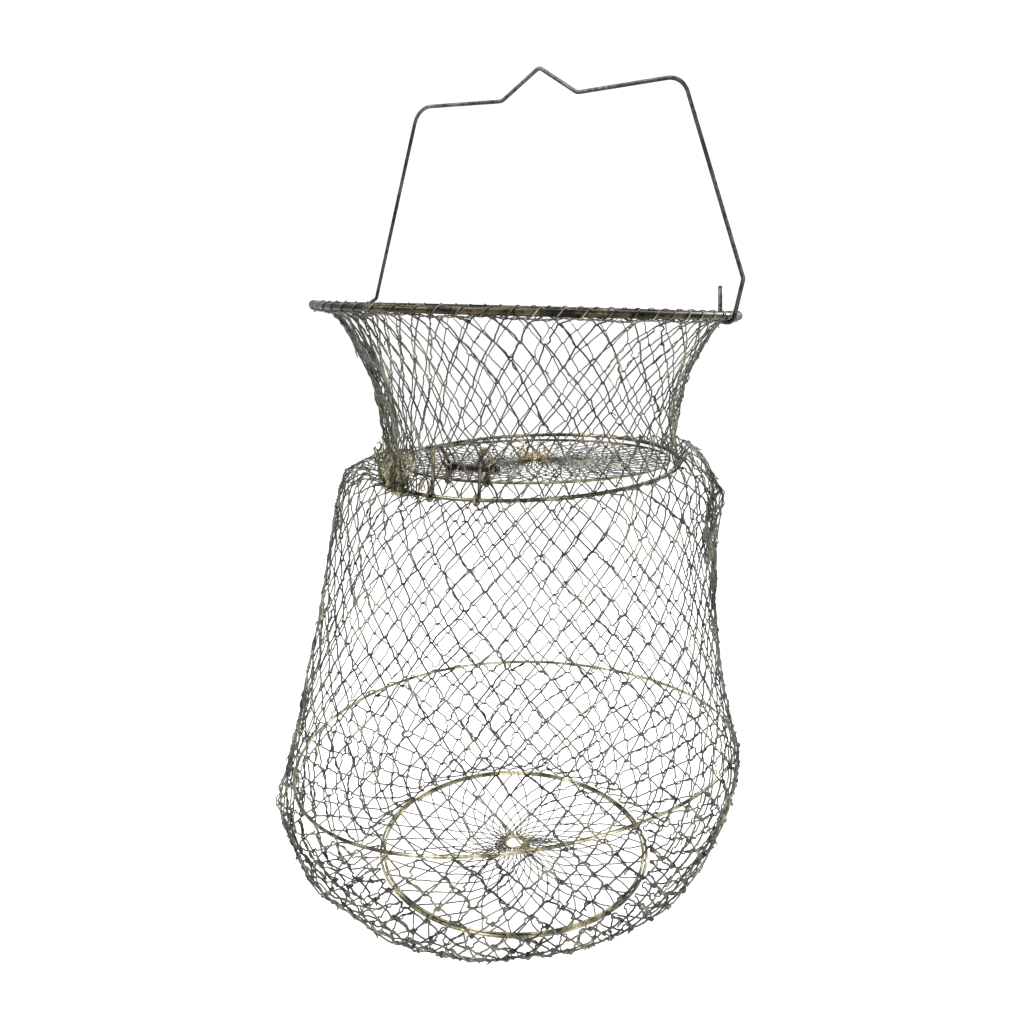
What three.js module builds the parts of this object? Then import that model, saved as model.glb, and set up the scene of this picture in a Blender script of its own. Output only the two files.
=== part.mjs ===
// Collapsible wire fish basket: a bail, four wire rings, a sprung trap door and wire netting.
// Millimetres, +Z up. The origin is the underside of the bail's peak, where it hangs.
import * as THREE from 'three';

// Wire diameters
const BAIL_WIRE = 2.7;
const RIM_WIRE = 4.4;
const NECK_WIRE = 2.6;
const BASE_WIRE = 2.4;
const BOTTOM_WIRE = 2.2;
const FLAP_WIRE = 2.0;
const LACING_WIRE = 0.8;
const TIE_WIRE = 1.2;

// Clearances between wires that bear on each other
const SEAT_GAP = 0.3;
const EYE_GAP = 0.5;
const LACING_GAP = 0.55;

// Rings: radius of the centre line, centre from the rim's centre, slopes, and two-lobed warp
const RIM_RADIUS = 144.3;
const NECK_RADIUS = 106;
const NECK_SHIFT_X = 4.3;
const NECK_SHIFT_Y = 2.9;
const NECK_DROP = 108;
const NECK_SLOPE_X_RATIO = 0.0333;
const NECK_SLOPE_Y_RATIO = 0.0748;
const BASE_RADIUS = 165;
const BASE_SHIFT_X = -0.5;
const BASE_SHIFT_Y = -0.3;
const BASE_DROP = 322.7;
const BASE_SLOPE_X_RATIO = 0.108;
const BASE_SLOPE_Y_RATIO = 0.018;
const BASE_WARP = 5;
const BASE_WARP_ANGLE = 152.8;
const BOTTOM_RADIUS = 104;
const BOTTOM_SHIFT_X = 1.6;
const BOTTOM_SHIFT_Y = 1.1;
const BOTTOM_DROP = 410.5;
const BOTTOM_SLOPE_X_RATIO = -0.018;
const BOTTOM_SLOPE_Y_RATIO = 0.0455;
const BOTTOM_TURNS = 2;

// Bail: heights are above the rim's plane, half widths from its middle
const BAIL_OFFSET = 9;
const BAIL_RISE = 160;
const SHOULDER_HALF_WIDTH = 105.5;
const SHOULDER_HEIGHT = 144;
const VALLEY_HALF_WIDTH = 30.3;
const VALLEY_HEIGHT = 141.3;
const BAIL_BEND_RADIUS = 8;
const VALLEY_BEND_RADIUS = 3;
const BEND_STEPS = 4;

// Bail hooks: heights are above the line that both hooks pass under the rim on
const LEFT_ELBOW_OUT = 4.3;
const LEFT_ELBOW_HEIGHT = 8.9;
const LEFT_LOOP_OUT = 29.5;
const LEFT_LOOP_DROP = 7.5;
const LEFT_LOOP_WIDTH = 3.2;
const LEFT_LOOP_BEND_SHARE = 0.45;
const LEFT_TIP_IN = 10;
const LEFT_TIP_HEIGHT = 2.3;
const RIGHT_BEND_OUT = 9;
const RIGHT_BEND_HEIGHT = 26.6;
const RIGHT_TIP_IN = 8;
const RIGHT_TIP_HEIGHT = 22;
const RIGHT_TIP_TWIST = 6;

// Trap door, in the neck ring's plane with the hinge towards -Y
const HINGE_AZIMUTH = 6.5;
const ROD_DIAMETER = 2.2;
const ROD_INSET = 7.5;
const ROD_HEIGHT = 14;
const ROD_OVERHANG = 2.4;
const FLAP_INSET = 9;
const FLAP_LAP = 0.5;
const FLAP_NEAR_HEIGHT = 7;
const FLAP_FAR_DROP = 4.8;
const SPRING_WIRE = 0.9;
const SPRING_CURLS = 16;
const SPRING_PITCH = 1.55;
const SPRING_LEG = 14;
const FIXED_LEG_ANGLE = 118;
const FLAP_LEG_ANGLE = 198;
const LUG_WIRE = 2.2;
const LUG_EYE_SWEEP = 250;
const ARM_WIRE = 2.4;
const ARM_EYE_SWEEP = 290;
const ARM_FOOT_START = 60;
const ARM_ROD_EYE_LAG = 30;
const ARM_SIDE_GAP = 0.5;
const ARM_LEAN = 8;
const ARM_HEIGHT = 29;
const ARM_CROWN = 8;
const ARM_BEND_RADIUS = 3;

// Netting: flattened strands stand for the knitted wire
const STRAND_WIDTH = 1.7;
const STRAND_THICKNESS = 1.2;
const NET_COLUMNS = 20;
const DISC_COLUMNS = 16;
const HINGE_BULGE = 7;
const HINGE_BULGE_ANGLE = 24;
const COLLAR_ROW_SHARES = [0, 0.3, 0.64, 1];
const BODY_ROW_SHARES = [0, 0.07, 0.3, 0.54, 0.77, 1];
const SKIRT_ROW_SHARES = [0, 0.5, 1];
const FLAP_ROW_SHARES = [0, 0.34, 0.68, 1];
const BOTTOM_ROW_SHARES = [0, 0.34, 0.68, 1];
const COLLAR_PROFILE_SHARES = [
  [0, 1], [0.05, 0.7], [0.16, 0.49], [0.38, 0.15], [0.6, -0.03], [0.83, -0.12], [1, 0],
];
const BODY_PROFILE_SHARES = [
  [0, 0], [0.03, 0.3], [0.06, 0.43], [0.2, 0.46], [0.45, 0.59], [0.7, 0.78], [0.92, 0.95], [1, 1],
];
const SKIRT_BULGE = 6;
const SKIRT_SAG = 14;
const SKIRT_SEAT = 0.85;
const NECK_LACING_SKIP_COLUMNS = 0.9;
const FLAP_TIE_RADIUS = 4.5;
const BOTTOM_TIE_RADIUS = 7;

// Facets
const RIM_STEPS = 60;
const RING_STEPS = 56;
const WIRE_SIDES = 6;
const FINE_SIDES = 4;
const SPRING_SIDES = 5;
const SPRING_STEPS = 8;
const LACING_STEPS = 6;
const EYE_STEPS = 10;
const SURFACE_NUDGE = 1e-3;

const RIGHT_ANGLE = 90;
const HALF_TURN = 180;
const FULL_TURN = 360;
const UP = new THREE.Vector3(0, 0, 1);

const RIM = ring({ radius: RIM_RADIUS });
const NECK = ring({
  radius: NECK_RADIUS,
  x: NECK_SHIFT_X,
  y: NECK_SHIFT_Y,
  drop: NECK_DROP,
  slopeX: NECK_SLOPE_X_RATIO,
  slopeY: NECK_SLOPE_Y_RATIO,
});
const BASE = ring({
  radius: BASE_RADIUS,
  x: BASE_SHIFT_X,
  y: BASE_SHIFT_Y,
  drop: BASE_DROP,
  slopeX: BASE_SLOPE_X_RATIO,
  slopeY: BASE_SLOPE_Y_RATIO,
  warp: BASE_WARP,
  warpAngle: BASE_WARP_ANGLE,
});
const BOTTOM = ring({
  radius: BOTTOM_RADIUS,
  x: BOTTOM_SHIFT_X,
  y: BOTTOM_SHIFT_Y,
  drop: BOTTOM_DROP,
  slopeX: BOTTOM_SLOPE_X_RATIO,
  slopeY: BOTTOM_SLOPE_Y_RATIO,
});

// Places that several pieces share, worked out from the sizes above
const rimZ = BAIL_WIRE / 2 - BAIL_RISE;
const hookDrop = (RIM_WIRE + BAIL_WIRE) / 2 + SEAT_GAP;
const hookX = Math.sqrt(RIM.radius ** 2 - BAIL_OFFSET ** 2);
const hookAngle = THREE.MathUtils.radToDeg(Math.asin(BAIL_OFFSET / RIM.radius));
const flapRadius = NECK_RADIUS - FLAP_INSET;
const flapShift = FLAP_INSET + FLAP_LAP;
const rodOut = flapRadius - flapShift - ROD_INSET;
const springRadius = (ROD_DIAMETER + SPRING_WIRE) / 2 + LACING_GAP;
const springHalf = (SPRING_CURLS * SPRING_PITCH) / 2;
const lugX = springHalf + (SPRING_WIRE + LUG_WIRE) / 2 + SEAT_GAP;
const armX = lugX + (LUG_WIRE + ARM_WIRE) / 2 + ARM_SIDE_GAP;
const armFootY = -Math.sqrt(NECK.radius ** 2 - armX ** 2);
const flapSlope = -(FLAP_NEAR_HEIGHT + FLAP_FAR_DROP) / (2 * flapRadius);
const patch = STRAND_WIDTH * Math.SQRT1_2;
const bottomPitch = BOTTOM_WIRE + EYE_GAP;

// A ring's frame: its plane is tilted by two slopes about its centre
function ring({ radius, x = 0, y = 0, drop = 0, slopeX = 0, slopeY = 0, warp = 0, warpAngle = 0 }) {
  const normal = new THREE.Vector3(-slopeX, -slopeY, 1).normalize();
  const turn = new THREE.Quaternion().setFromUnitVectors(UP, normal);
  return { radius, centre: new THREE.Vector3(x, y, -drop), turn, warp, warpAngle };
}

function cosine(angle) {
  return Math.cos(THREE.MathUtils.degToRad(angle));
}

function sine(angle) {
  return Math.sin(THREE.MathUtils.degToRad(angle));
}

// Rises from 0 at a share of 0 to 1 at the middle and back to 0 at a share of 1
function arch(share) {
  return 1 - (2 * share - 1) ** 2;
}

// A point beside a ring's centre line, out by `out` and up by `lift`, in the ring's own plane
function ringLocal(place, angle, out = 0, lift = 0) {
  const radius = place.radius + out;
  const wave = place.warp * cosine(2 * (angle - place.warpAngle));
  return new THREE.Vector3(radius * cosine(angle), radius * sine(angle), lift + wave);
}

// The same point from the rim's centre
function ringPoint(place, angle, out = 0, lift = 0) {
  return ringLocal(place, angle, out, lift).applyQuaternion(place.turn).add(place.centre);
}

// Value at a share along a table of [share, value share] pairs
function profileShare(table, share) {
  let next = 1;
  while (next < table.length - 1 && table[next][0] < share) {
    next += 1;
  }
  const [startShare, startValue] = table[next - 1];
  const [endShare, endValue] = table[next];
  const along = (share - startShare) / (endShare - startShare);
  return THREE.MathUtils.lerp(startValue, endValue, along);
}

// Closed solid from points and triangles, turned so that its faces point out
function solid(points, triangles) {
  let volume = 0;
  for (const [a, b, c] of triangles) {
    volume += points[a].dot(new THREE.Vector3().crossVectors(points[b], points[c]));
  }
  const faces = volume < 0 ? triangles.map(([a, b, c]) => [a, c, b]) : triangles;
  const geometry = new THREE.BufferGeometry();
  geometry.setAttribute(
    'position',
    new THREE.Float32BufferAttribute(points.flatMap((point) => point.toArray()), 3),
  );
  geometry.setIndex(faces.flat());
  geometry.computeVertexNormals();
  return geometry;
}

// Directions square to a path at each of its points, carried along it without twisting
function carriedNormals(points, closed) {
  const count = points.length;
  const tangents = points.map((point, index) => {
    const before = closed ? points[(index + count - 1) % count] : points[Math.max(index - 1, 0)];
    const after = closed ? points[(index + 1) % count] : points[Math.min(index + 1, count - 1)];
    return after.clone().sub(before).normalize();
  });
  const first = Math.abs(tangents[0].z) < Math.SQRT1_2 ? UP : new THREE.Vector3(1, 0, 0);
  const normals = [first.clone().projectOnPlane(tangents[0]).normalize()];
  for (let index = 1; index < count; index += 1) {
    const step = new THREE.Quaternion().setFromUnitVectors(tangents[index - 1], tangents[index]);
    const normal = normals[index - 1].clone().applyQuaternion(step);
    normals.push(normal.projectOnPlane(tangents[index]).normalize());
  }
  return { tangents, normals };
}

// Angle left over when the carried normal comes back to the start of a closed path
function closingTwist(tangents, normals) {
  const last = normals.length - 1;
  const step = new THREE.Quaternion().setFromUnitVectors(tangents[last], tangents[0]);
  const arrived = normals[last].clone().applyQuaternion(step);
  const side = new THREE.Vector3().crossVectors(tangents[0], normals[0]);
  return Math.atan2(arrived.dot(side), arrived.dot(normals[0]));
}

// Round wire along a path, as one closed solid
function wire(points, diameter, sides, closed = false) {
  const { tangents, normals } = carriedNormals(points, closed);
  const twist = closed ? closingTwist(tangents, normals) : 0;
  const vertices = [];
  points.forEach((point, index) => {
    const binormal = new THREE.Vector3().crossVectors(tangents[index], normals[index]);
    for (let side = 0; side < sides; side += 1) {
      const angle = (side / sides) * Math.PI * 2 - (twist * index) / points.length;
      vertices.push(
        point
          .clone()
          .addScaledVector(normals[index], (Math.cos(angle) * diameter) / 2)
          .addScaledVector(binormal, (Math.sin(angle) * diameter) / 2),
      );
    }
  });
  const triangles = [];
  const spans = closed ? points.length : points.length - 1;
  for (let index = 0; index < spans; index += 1) {
    for (let side = 0; side < sides; side += 1) {
      const next = (side + 1) % sides;
      const far = ((index + 1) % points.length) * sides;
      const near = index * sides;
      triangles.push([near + side, near + next, far + next], [near + side, far + next, far + side]);
    }
  }
  if (!closed) {
    const end = (points.length - 1) * sides;
    for (let side = 1; side < sides - 1; side += 1) {
      triangles.push([0, side + 1, side], [end, end + side, end + side + 1]);
    }
  }
  return solid(vertices, triangles);
}

// Path through corners, each rounded to its own bend radius
function bentPath(corners) {
  const path = [corners[0].at];
  for (let index = 1; index < corners.length - 1; index += 1) {
    const { at, bend } = corners[index];
    const back = corners[index - 1].at.clone().sub(at).normalize();
    const ahead = corners[index + 1].at.clone().sub(at).normalize();
    const half = back.angleTo(ahead) / 2;
    const reach = bend / Math.tan(half);
    const middle = back.clone().add(ahead).normalize();
    const centre = at.clone().addScaledVector(middle, bend / Math.sin(half));
    const start = at.clone().addScaledVector(back, reach).sub(centre);
    const axis = new THREE.Vector3().crossVectors(ahead, back).normalize();
    const sweep = Math.PI - 2 * half;
    for (let step = 0; step <= BEND_STEPS; step += 1) {
      const turned = start.clone().applyAxisAngle(axis, (sweep * step) / BEND_STEPS);
      path.push(turned.add(centre));
    }
  }
  path.push(corners[corners.length - 1].at);
  return path;
}

// Ring wire as a closed tube in the ring's own plane
function ringWire(place, diameter, steps, sides) {
  const points = [];
  for (let step = 0; step < steps; step += 1) {
    points.push(ringLocal(place, (FULL_TURN * step) / steps));
  }
  return wire(points, diameter, sides, true);
}

// Netting of crossing strands over a surface(column share, row), as one closed solid
function netting(surface, rows, columns, shift) {
  const vertices = [];
  const corners = rows.map(() => []);
  const place = (share, row, side) => {
    const at = surface(share, row);
    const across = surface(share + SURFACE_NUDGE, row).sub(surface(share - SURFACE_NUDGE, row));
    const along = surface(share, row + SURFACE_NUDGE).sub(surface(share, row - SURFACE_NUDGE));
    const normal = new THREE.Vector3().crossVectors(across, along).normalize();
    return at.addScaledVector(normal, (side * STRAND_THICKNESS) / 2);
  };
  for (let row = 0; row < rows.length; row += 1) {
    for (let column = 0; column < columns; column += 1) {
      const share = (column + shift + (row % 2) / 2) / columns;
      const east = surface(share + SURFACE_NUDGE, row);
      const west = surface(share - SURFACE_NUDGE, row);
      const south = surface(share, row + SURFACE_NUDGE);
      const north = surface(share, row - SURFACE_NUDGE);
      const du = (2 * SURFACE_NUDGE * patch) / east.distanceTo(west);
      const dv = (2 * SURFACE_NUDGE * patch) / south.distanceTo(north);
      const node = {};
      const spots = { north: [0, -dv], south: [0, dv], west: [-du, 0], east: [du, 0] };
      for (const [name, [sideways, down]] of Object.entries(spots)) {
        node[name] = vertices.length;
        vertices.push(place(share + sideways, row + down, 1));
        vertices.push(place(share + sideways, row + down, -1));
      }
      corners[row].push(node);
    }
  }
  return solid(vertices, nettingFaces(corners, columns));
}

// Faces of the crossing patches, the strands between them and their edges
function nettingFaces(corners, columns) {
  const triangles = [];
  const sheet = (a, b, c, d) => {
    triangles.push([a, b, c], [a, c, d]);
    triangles.push([a + 1, c + 1, b + 1], [a + 1, d + 1, c + 1]);
  };
  const wall = (a, b) => {
    triangles.push([a, b + 1, a + 1], [a, b, b + 1]);
  };
  const lastRow = corners.length - 1;
  corners.forEach((nodes, row) => {
    nodes.forEach((node, column) => {
      sheet(node.north, node.west, node.south, node.east);
      if (row === 0) {
        wall(node.north, node.east);
        wall(node.west, node.north);
      }
      if (row === lastRow) {
        wall(node.south, node.west);
        wall(node.east, node.south);
        return;
      }
      const step = row % 2;
      const left = corners[row + 1][(column - 1 + step + columns) % columns];
      const right = corners[row + 1][(column + step) % columns];
      sheet(node.south, node.west, left.north, left.east);
      wall(left.north, node.west);
      wall(node.south, left.east);
      sheet(node.east, node.south, right.west, right.north);
      wall(right.west, node.south);
      wall(node.east, right.north);
    });
  });
  return triangles;
}

// Rows are counted along a net, so a row between two has the share between theirs
function rowShare(shares, row) {
  const start = Math.min(Math.max(Math.floor(row), 0), shares.length - 2);
  return THREE.MathUtils.lerp(shares[start], shares[start + 1], row - start);
}

function material(color, metalness, roughness) {
  return new THREE.MeshStandardMaterial({ color, metalness, roughness });
}

function mesh(name, geometry, look) {
  const piece = new THREE.Mesh(geometry, look);
  piece.name = name;
  return piece;
}

const darkSteel = () => material(0x5a5348, 0.9, 0.35);
const brassySteel = () => material(0x8f8456, 0.95, 0.3);
const netSteel = () => material(0x77745f, 0.85, 0.4);
const goldWire = () => material(0xb79a3e, 1, 0.3);
const springSteel = () => material(0x3f3c38, 0.9, 0.3);

// Bail, drawn in the plane of its hooks from the left hook's tip to the right one's
function bail() {
  const level = rimZ - hookDrop;
  const corner = (x, z, bend, y = 0) => ({ at: new THREE.Vector3(x, y, z), bend });
  const loopBend = LEFT_LOOP_WIDTH * LEFT_LOOP_BEND_SHARE;
  const corners = [
    corner(LEFT_TIP_IN - hookX, level + LEFT_TIP_HEIGHT, 0),
    corner(-hookX - LEFT_LOOP_OUT, level - LEFT_LOOP_DROP, loopBend),
    corner(-hookX - LEFT_LOOP_OUT, level - LEFT_LOOP_DROP + LEFT_LOOP_WIDTH, loopBend),
    corner(-hookX - LEFT_ELBOW_OUT, level + LEFT_ELBOW_HEIGHT, BAIL_WIRE),
    corner(-SHOULDER_HALF_WIDTH, rimZ + SHOULDER_HEIGHT, BAIL_BEND_RADIUS),
    corner(-VALLEY_HALF_WIDTH, rimZ + VALLEY_HEIGHT, VALLEY_BEND_RADIUS),
    corner(0, rimZ + BAIL_RISE, VALLEY_BEND_RADIUS),
    corner(VALLEY_HALF_WIDTH, rimZ + VALLEY_HEIGHT, VALLEY_BEND_RADIUS),
    corner(SHOULDER_HALF_WIDTH, rimZ + SHOULDER_HEIGHT, BAIL_BEND_RADIUS),
    corner(hookX + RIGHT_BEND_OUT, level + RIGHT_BEND_HEIGHT, VALLEY_BEND_RADIUS),
    corner(hookX + hookDrop + SEAT_GAP, level, hookDrop),
    corner(hookX - hookDrop - SEAT_GAP, level, hookDrop),
    corner(hookX - RIGHT_TIP_IN, level + RIGHT_TIP_HEIGHT, 0, RIGHT_TIP_TWIST),
  ];
  return mesh('bail', wire(bentPath(corners), BAIL_WIRE, WIRE_SIDES), darkSteel());
}

// Angle round the mouth at a share of its columns: 0 and a half are where the hooks pass under
function mouthAngle(share) {
  const turns = Math.floor(share);
  const part = share - turns;
  const back = HALF_TURN - 2 * hookAngle;
  const front = FULL_TURN - back;
  const angle = part < 0.5 ? 2 * part * back : back + (2 * part - 1) * front;
  return hookAngle + angle + turns * FULL_TURN;
}

// Turns that the rim's lacing has made: it runs straight over the top at the hooks
function rimWraps(share) {
  const halves = Math.floor(2 * share);
  const most = NET_COLUMNS / 2 - 1;
  const part = (share - halves / 2) * NET_COLUMNS - 1 / 2;
  return halves * most + Math.min(Math.max(part, 0), most);
}

// Lacing wound round a ring wire: turn(share) gives the angle round the wire, from outside
function lacing(place, wireDiameter, steps, shareAt, angleAt, turn, closed) {
  const chord = cosine(HALF_TURN / LACING_STEPS);
  const reach = ((wireDiameter + LACING_WIRE) / 2 + LACING_GAP) / chord;
  const points = [];
  for (let step = 0; step < steps; step += 1) {
    const share = shareAt(step);
    const round = turn(share);
    points.push(ringLocal(place, angleAt(share), reach * cosine(round), reach * sine(round)));
  }
  return wire(points, LACING_WIRE, FINE_SIDES, closed);
}

function rimPieces() {
  const group = new THREE.Group();
  const steps = NET_COLUMNS * LACING_STEPS;
  const wound = lacing(
    RIM,
    RIM_WIRE,
    steps,
    (step) => step / steps,
    mouthAngle,
    (share) => RIGHT_ANGLE + FULL_TURN * rimWraps(share),
    true,
  );
  group.add(mesh('rim_ring', ringWire(RIM, RIM_WIRE, RIM_STEPS, WIRE_SIDES), darkSteel()));
  group.add(mesh('rim_lacing', wound, netSteel()));
  return group;
}

// Neck lacing stops each side of the hinge, to leave its arms' eyes room
function neckLacing() {
  const skip = NECK_LACING_SKIP_COLUMNS / NET_COLUMNS;
  const start = skip - RIGHT_ANGLE / FULL_TURN;
  const span = 1 - 2 * skip;
  const steps = Math.round(span * NET_COLUMNS * LACING_STEPS);
  return lacing(
    NECK,
    NECK_WIRE,
    steps,
    (step) => start + (span * step) / (steps - 1),
    (share) => FULL_TURN * share,
    (share) => -RIGHT_ANGLE - FULL_TURN * NET_COLUMNS * share,
    false,
  );
}

// An eye round an axis along x, from a start angle, as corners of its wire in the y and z plane
function eyePoints(x, y, z, radius, startAngle, sweep) {
  const points = [];
  for (let step = 0; step <= EYE_STEPS; step += 1) {
    const angle = startAngle + (sweep * step) / EYE_STEPS;
    points.push(new THREE.Vector3(x, y + radius * cosine(angle), z + radius * sine(angle)));
  }
  return points;
}

// Hinge arm: an open eye hung round the neck ring, a leaning shank, a crown and an eye on the rod
function hingeArm(side) {
  const x = side * armX;
  const footRadius = (NECK_WIRE + ARM_WIRE) / 2 + EYE_GAP;
  const rodRadius = (ROD_DIAMETER + ARM_WIRE) / 2 + SEAT_GAP;
  const foot = eyePoints(x, armFootY, 0, footRadius, ARM_FOOT_START, ARM_EYE_SWEEP);
  const rodStart = FIXED_LEG_ANGLE - ARM_ROD_EYE_LAG;
  const rodEye = eyePoints(x, -rodOut, ROD_HEIGHT, rodRadius, rodStart, -ARM_EYE_SWEEP);
  const corners = [
    { at: foot[foot.length - 1] },
    { at: new THREE.Vector3(x, armFootY + ARM_LEAN, ARM_HEIGHT), bend: ARM_BEND_RADIUS },
    { at: new THREE.Vector3(x, armFootY + ARM_LEAN + ARM_CROWN, ARM_HEIGHT), bend: ARM_BEND_RADIUS },
    { at: rodEye[0] },
  ];
  const path = [...foot.slice(0, -1), ...bentPath(corners), ...rodEye.slice(1)];
  return wire(path, ARM_WIRE, WIRE_SIDES);
}

// Close-wound torsion spring with a leg along each end's direction
function flapSpring() {
  const points = [];
  const start = FIXED_LEG_ANGLE - RIGHT_ANGLE;
  const sweep = FULL_TURN * SPRING_CURLS + FLAP_LEG_ANGLE - FIXED_LEG_ANGLE - HALF_TURN;
  const steps = Math.round((SPRING_STEPS * sweep) / FULL_TURN);
  for (let step = 0; step <= steps; step += 1) {
    const share = step / steps;
    const angle = start + sweep * share;
    points.push(
      new THREE.Vector3(
        (2 * share - 1) * springHalf,
        springRadius * cosine(angle) - rodOut,
        springRadius * sine(angle) + ROD_HEIGHT,
      ),
    );
  }
  const leg = (from, angle, shift) =>
    from.clone().add(new THREE.Vector3(shift, SPRING_LEG * cosine(angle), SPRING_LEG * sine(angle)));
  points.unshift(leg(points[0], FIXED_LEG_ANGLE, SPRING_WIRE - LUG_WIRE));
  points.push(leg(points[points.length - 1], FLAP_LEG_ANGLE, 0));
  return wire(points, SPRING_WIRE, SPRING_SIDES);
}

// Least distance between one curl's centre line and the next, less the wire
function springSelfGap() {
  const slope = SPRING_PITCH / (2 * Math.PI * springRadius);
  return SPRING_PITCH * Math.cos(Math.atan(slope)) - SPRING_WIRE;
}

// Lug: a wire bent like an S, with one open eye on the rod and one round the flap ring's near side
function flapLug(side) {
  const x = side * lugX;
  const nearY = flapShift - Math.sqrt(flapRadius ** 2 - lugX ** 2);
  const nearZ = flapHeight(nearY);
  const rodRadius = (ROD_DIAMETER + LUG_WIRE) / 2 + SEAT_GAP;
  const ringRadius = (FLAP_WIRE + LUG_WIRE) / 2 + SEAT_GAP;
  const distance = Math.hypot(nearZ - ROD_HEIGHT, nearY + rodOut);
  const toRing = Math.atan2(nearZ - ROD_HEIGHT, nearY + rodOut);
  const lean = Math.asin((rodRadius + ringRadius) / distance);
  const shank = THREE.MathUtils.radToDeg(toRing + lean);
  const rodStart = shank - RIGHT_ANGLE - LUG_EYE_SWEEP;
  const rodEye = eyePoints(x, -rodOut, ROD_HEIGHT, rodRadius, rodStart, LUG_EYE_SWEEP);
  const ringEye = eyePoints(x, nearY, nearZ, ringRadius, shank + RIGHT_ANGLE, -LUG_EYE_SWEEP);
  return wire([...rodEye, ...ringEye], LUG_WIRE, WIRE_SIDES);
}

// Height of the flap's plane over the neck ring's plane
function flapHeight(y) {
  return FLAP_NEAR_HEIGHT + flapSlope * (y - flapShift + flapRadius);
}

function flapPoint(angle, radius) {
  const y = flapShift + radius * sine(angle);
  return new THREE.Vector3(radius * cosine(angle), y, flapHeight(y));
}

function circleOnFlap(radius, steps) {
  const points = [];
  for (let step = 0; step < steps; step += 1) {
    points.push(flapPoint((FULL_TURN * step) / steps, radius));
  }
  return points;
}

// Flat netting between an outer and an inner radius, with a crossing midway between the lugs
function discNet(outer, inner, shares, toPoint) {
  const surface = (share, row) => {
    const radius = THREE.MathUtils.lerp(outer, inner, rowShare(shares, row));
    return toPoint(FULL_TURN * share, radius);
  };
  return netting(surface, shares, DISC_COLUMNS, 0);
}

function trapDoor() {
  const group = new THREE.Group();
  const rodHalf = armX + ARM_WIRE / 2 + ROD_OVERHANG;
  const ends = [-rodHalf, rodHalf].map((x) => new THREE.Vector3(x, -rodOut, ROD_HEIGHT));
  const netOuter = flapRadius - FLAP_WIRE / 2 - patch - SEAT_GAP;
  const netInner = FLAP_TIE_RADIUS + TIE_WIRE / 2 + patch + SEAT_GAP;
  group.add(mesh('hinge_arm_left', hingeArm(-1), darkSteel()));
  group.add(mesh('hinge_arm_right', hingeArm(1), darkSteel()));
  group.add(mesh('hinge_rod', wire(ends, ROD_DIAMETER, 2 * WIRE_SIDES), darkSteel()));
  group.add(mesh('flap_spring', flapSpring(), springSteel()));
  const frame = wire(circleOnFlap(flapRadius, RING_STEPS), FLAP_WIRE, WIRE_SIDES, true);
  group.add(mesh('flap_ring', frame, brassySteel()));
  group.add(mesh('flap_lug_left', flapLug(-1), darkSteel()));
  group.add(mesh('flap_lug_right', flapLug(1), darkSteel()));
  group.add(mesh('flap_net', discNet(netOuter, netInner, FLAP_ROW_SHARES, flapPoint), netSteel()));
  const tie = wire(circleOnFlap(FLAP_TIE_RADIUS, DISC_COLUMNS), TIE_WIRE, WIRE_SIDES, true);
  group.add(mesh('flap_centre_tie', tie, goldWire()));
  return group;
}

// Everything that is carried in the neck ring's plane, turned so that the hinge is towards -Y
function neckPieces() {
  const group = new THREE.Group();
  group.position.copy(NECK.centre);
  group.quaternion.copy(NECK.turn);
  const turned = new THREE.Group();
  turned.rotation.z = THREE.MathUtils.degToRad(HINGE_AZIMUTH);
  turned.add(mesh('neck_ring', ringWire(NECK, NECK_WIRE, RING_STEPS, WIRE_SIDES), darkSteel()));
  turned.add(mesh('neck_lacing', neckLacing(), netSteel()));
  turned.add(trapDoor());
  group.add(turned);
  return group;
}

// Collar netting: from inside the rim down to the top of the neck ring
function collarNet() {
  const rimIn = -(RIM_WIRE + STRAND_THICKNESS) / 2 - SEAT_GAP - patch;
  const neckUp = NECK_WIRE / 2 + SEAT_GAP + patch;
  const surface = (share, row) => {
    const down = rowShare(COLLAR_ROW_SHARES, row);
    const neckAngle = FULL_TURN * share + HINGE_AZIMUTH;
    const top = ringPoint(RIM, mouthAngle(share), rimIn);
    const foot = ringPoint(NECK, neckAngle, 0, neckUp);
    const middle = RIM.centre.clone().lerp(NECK.centre, down);
    const out = profileShare(COLLAR_PROFILE_SHARES, down);
    const at = foot.clone().lerp(top, out);
    at.z = THREE.MathUtils.lerp(top.z, foot.z, down);
    const fromHinge = (FULL_TURN * share + RIGHT_ANGLE - FULL_TURN) / HINGE_BULGE_ANGLE;
    const bulge = HINGE_BULGE * Math.exp(-(fromHinge ** 2)) * arch(down);
    const radial = new THREE.Vector3(at.x - middle.x, at.y - middle.y, 0).normalize();
    return at.addScaledVector(radial, bulge);
  };
  return netting(surface, COLLAR_ROW_SHARES, NET_COLUMNS, 1 / 2);
}

// Body netting: from outside the neck ring over a shoulder and down to the base ring
function bodyNet() {
  const neckOut = (NECK_WIRE + STRAND_THICKNESS) / 2 + SEAT_GAP + patch;
  const baseUp = BASE_WIRE / 2 + SEAT_GAP + patch;
  const surface = (share, row) => {
    const down = rowShare(BODY_ROW_SHARES, row);
    const angle = FULL_TURN * share + HINGE_AZIMUTH;
    const top = ringPoint(NECK, angle, neckOut);
    const foot = ringPoint(BASE, angle, 0, baseUp);
    const at = top.clone().lerp(foot, profileShare(BODY_PROFILE_SHARES, down));
    at.z = THREE.MathUtils.lerp(top.z, foot.z, down);
    return at;
  };
  return netting(surface, BODY_ROW_SHARES, NET_COLUMNS, 1 / 4);
}

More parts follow.
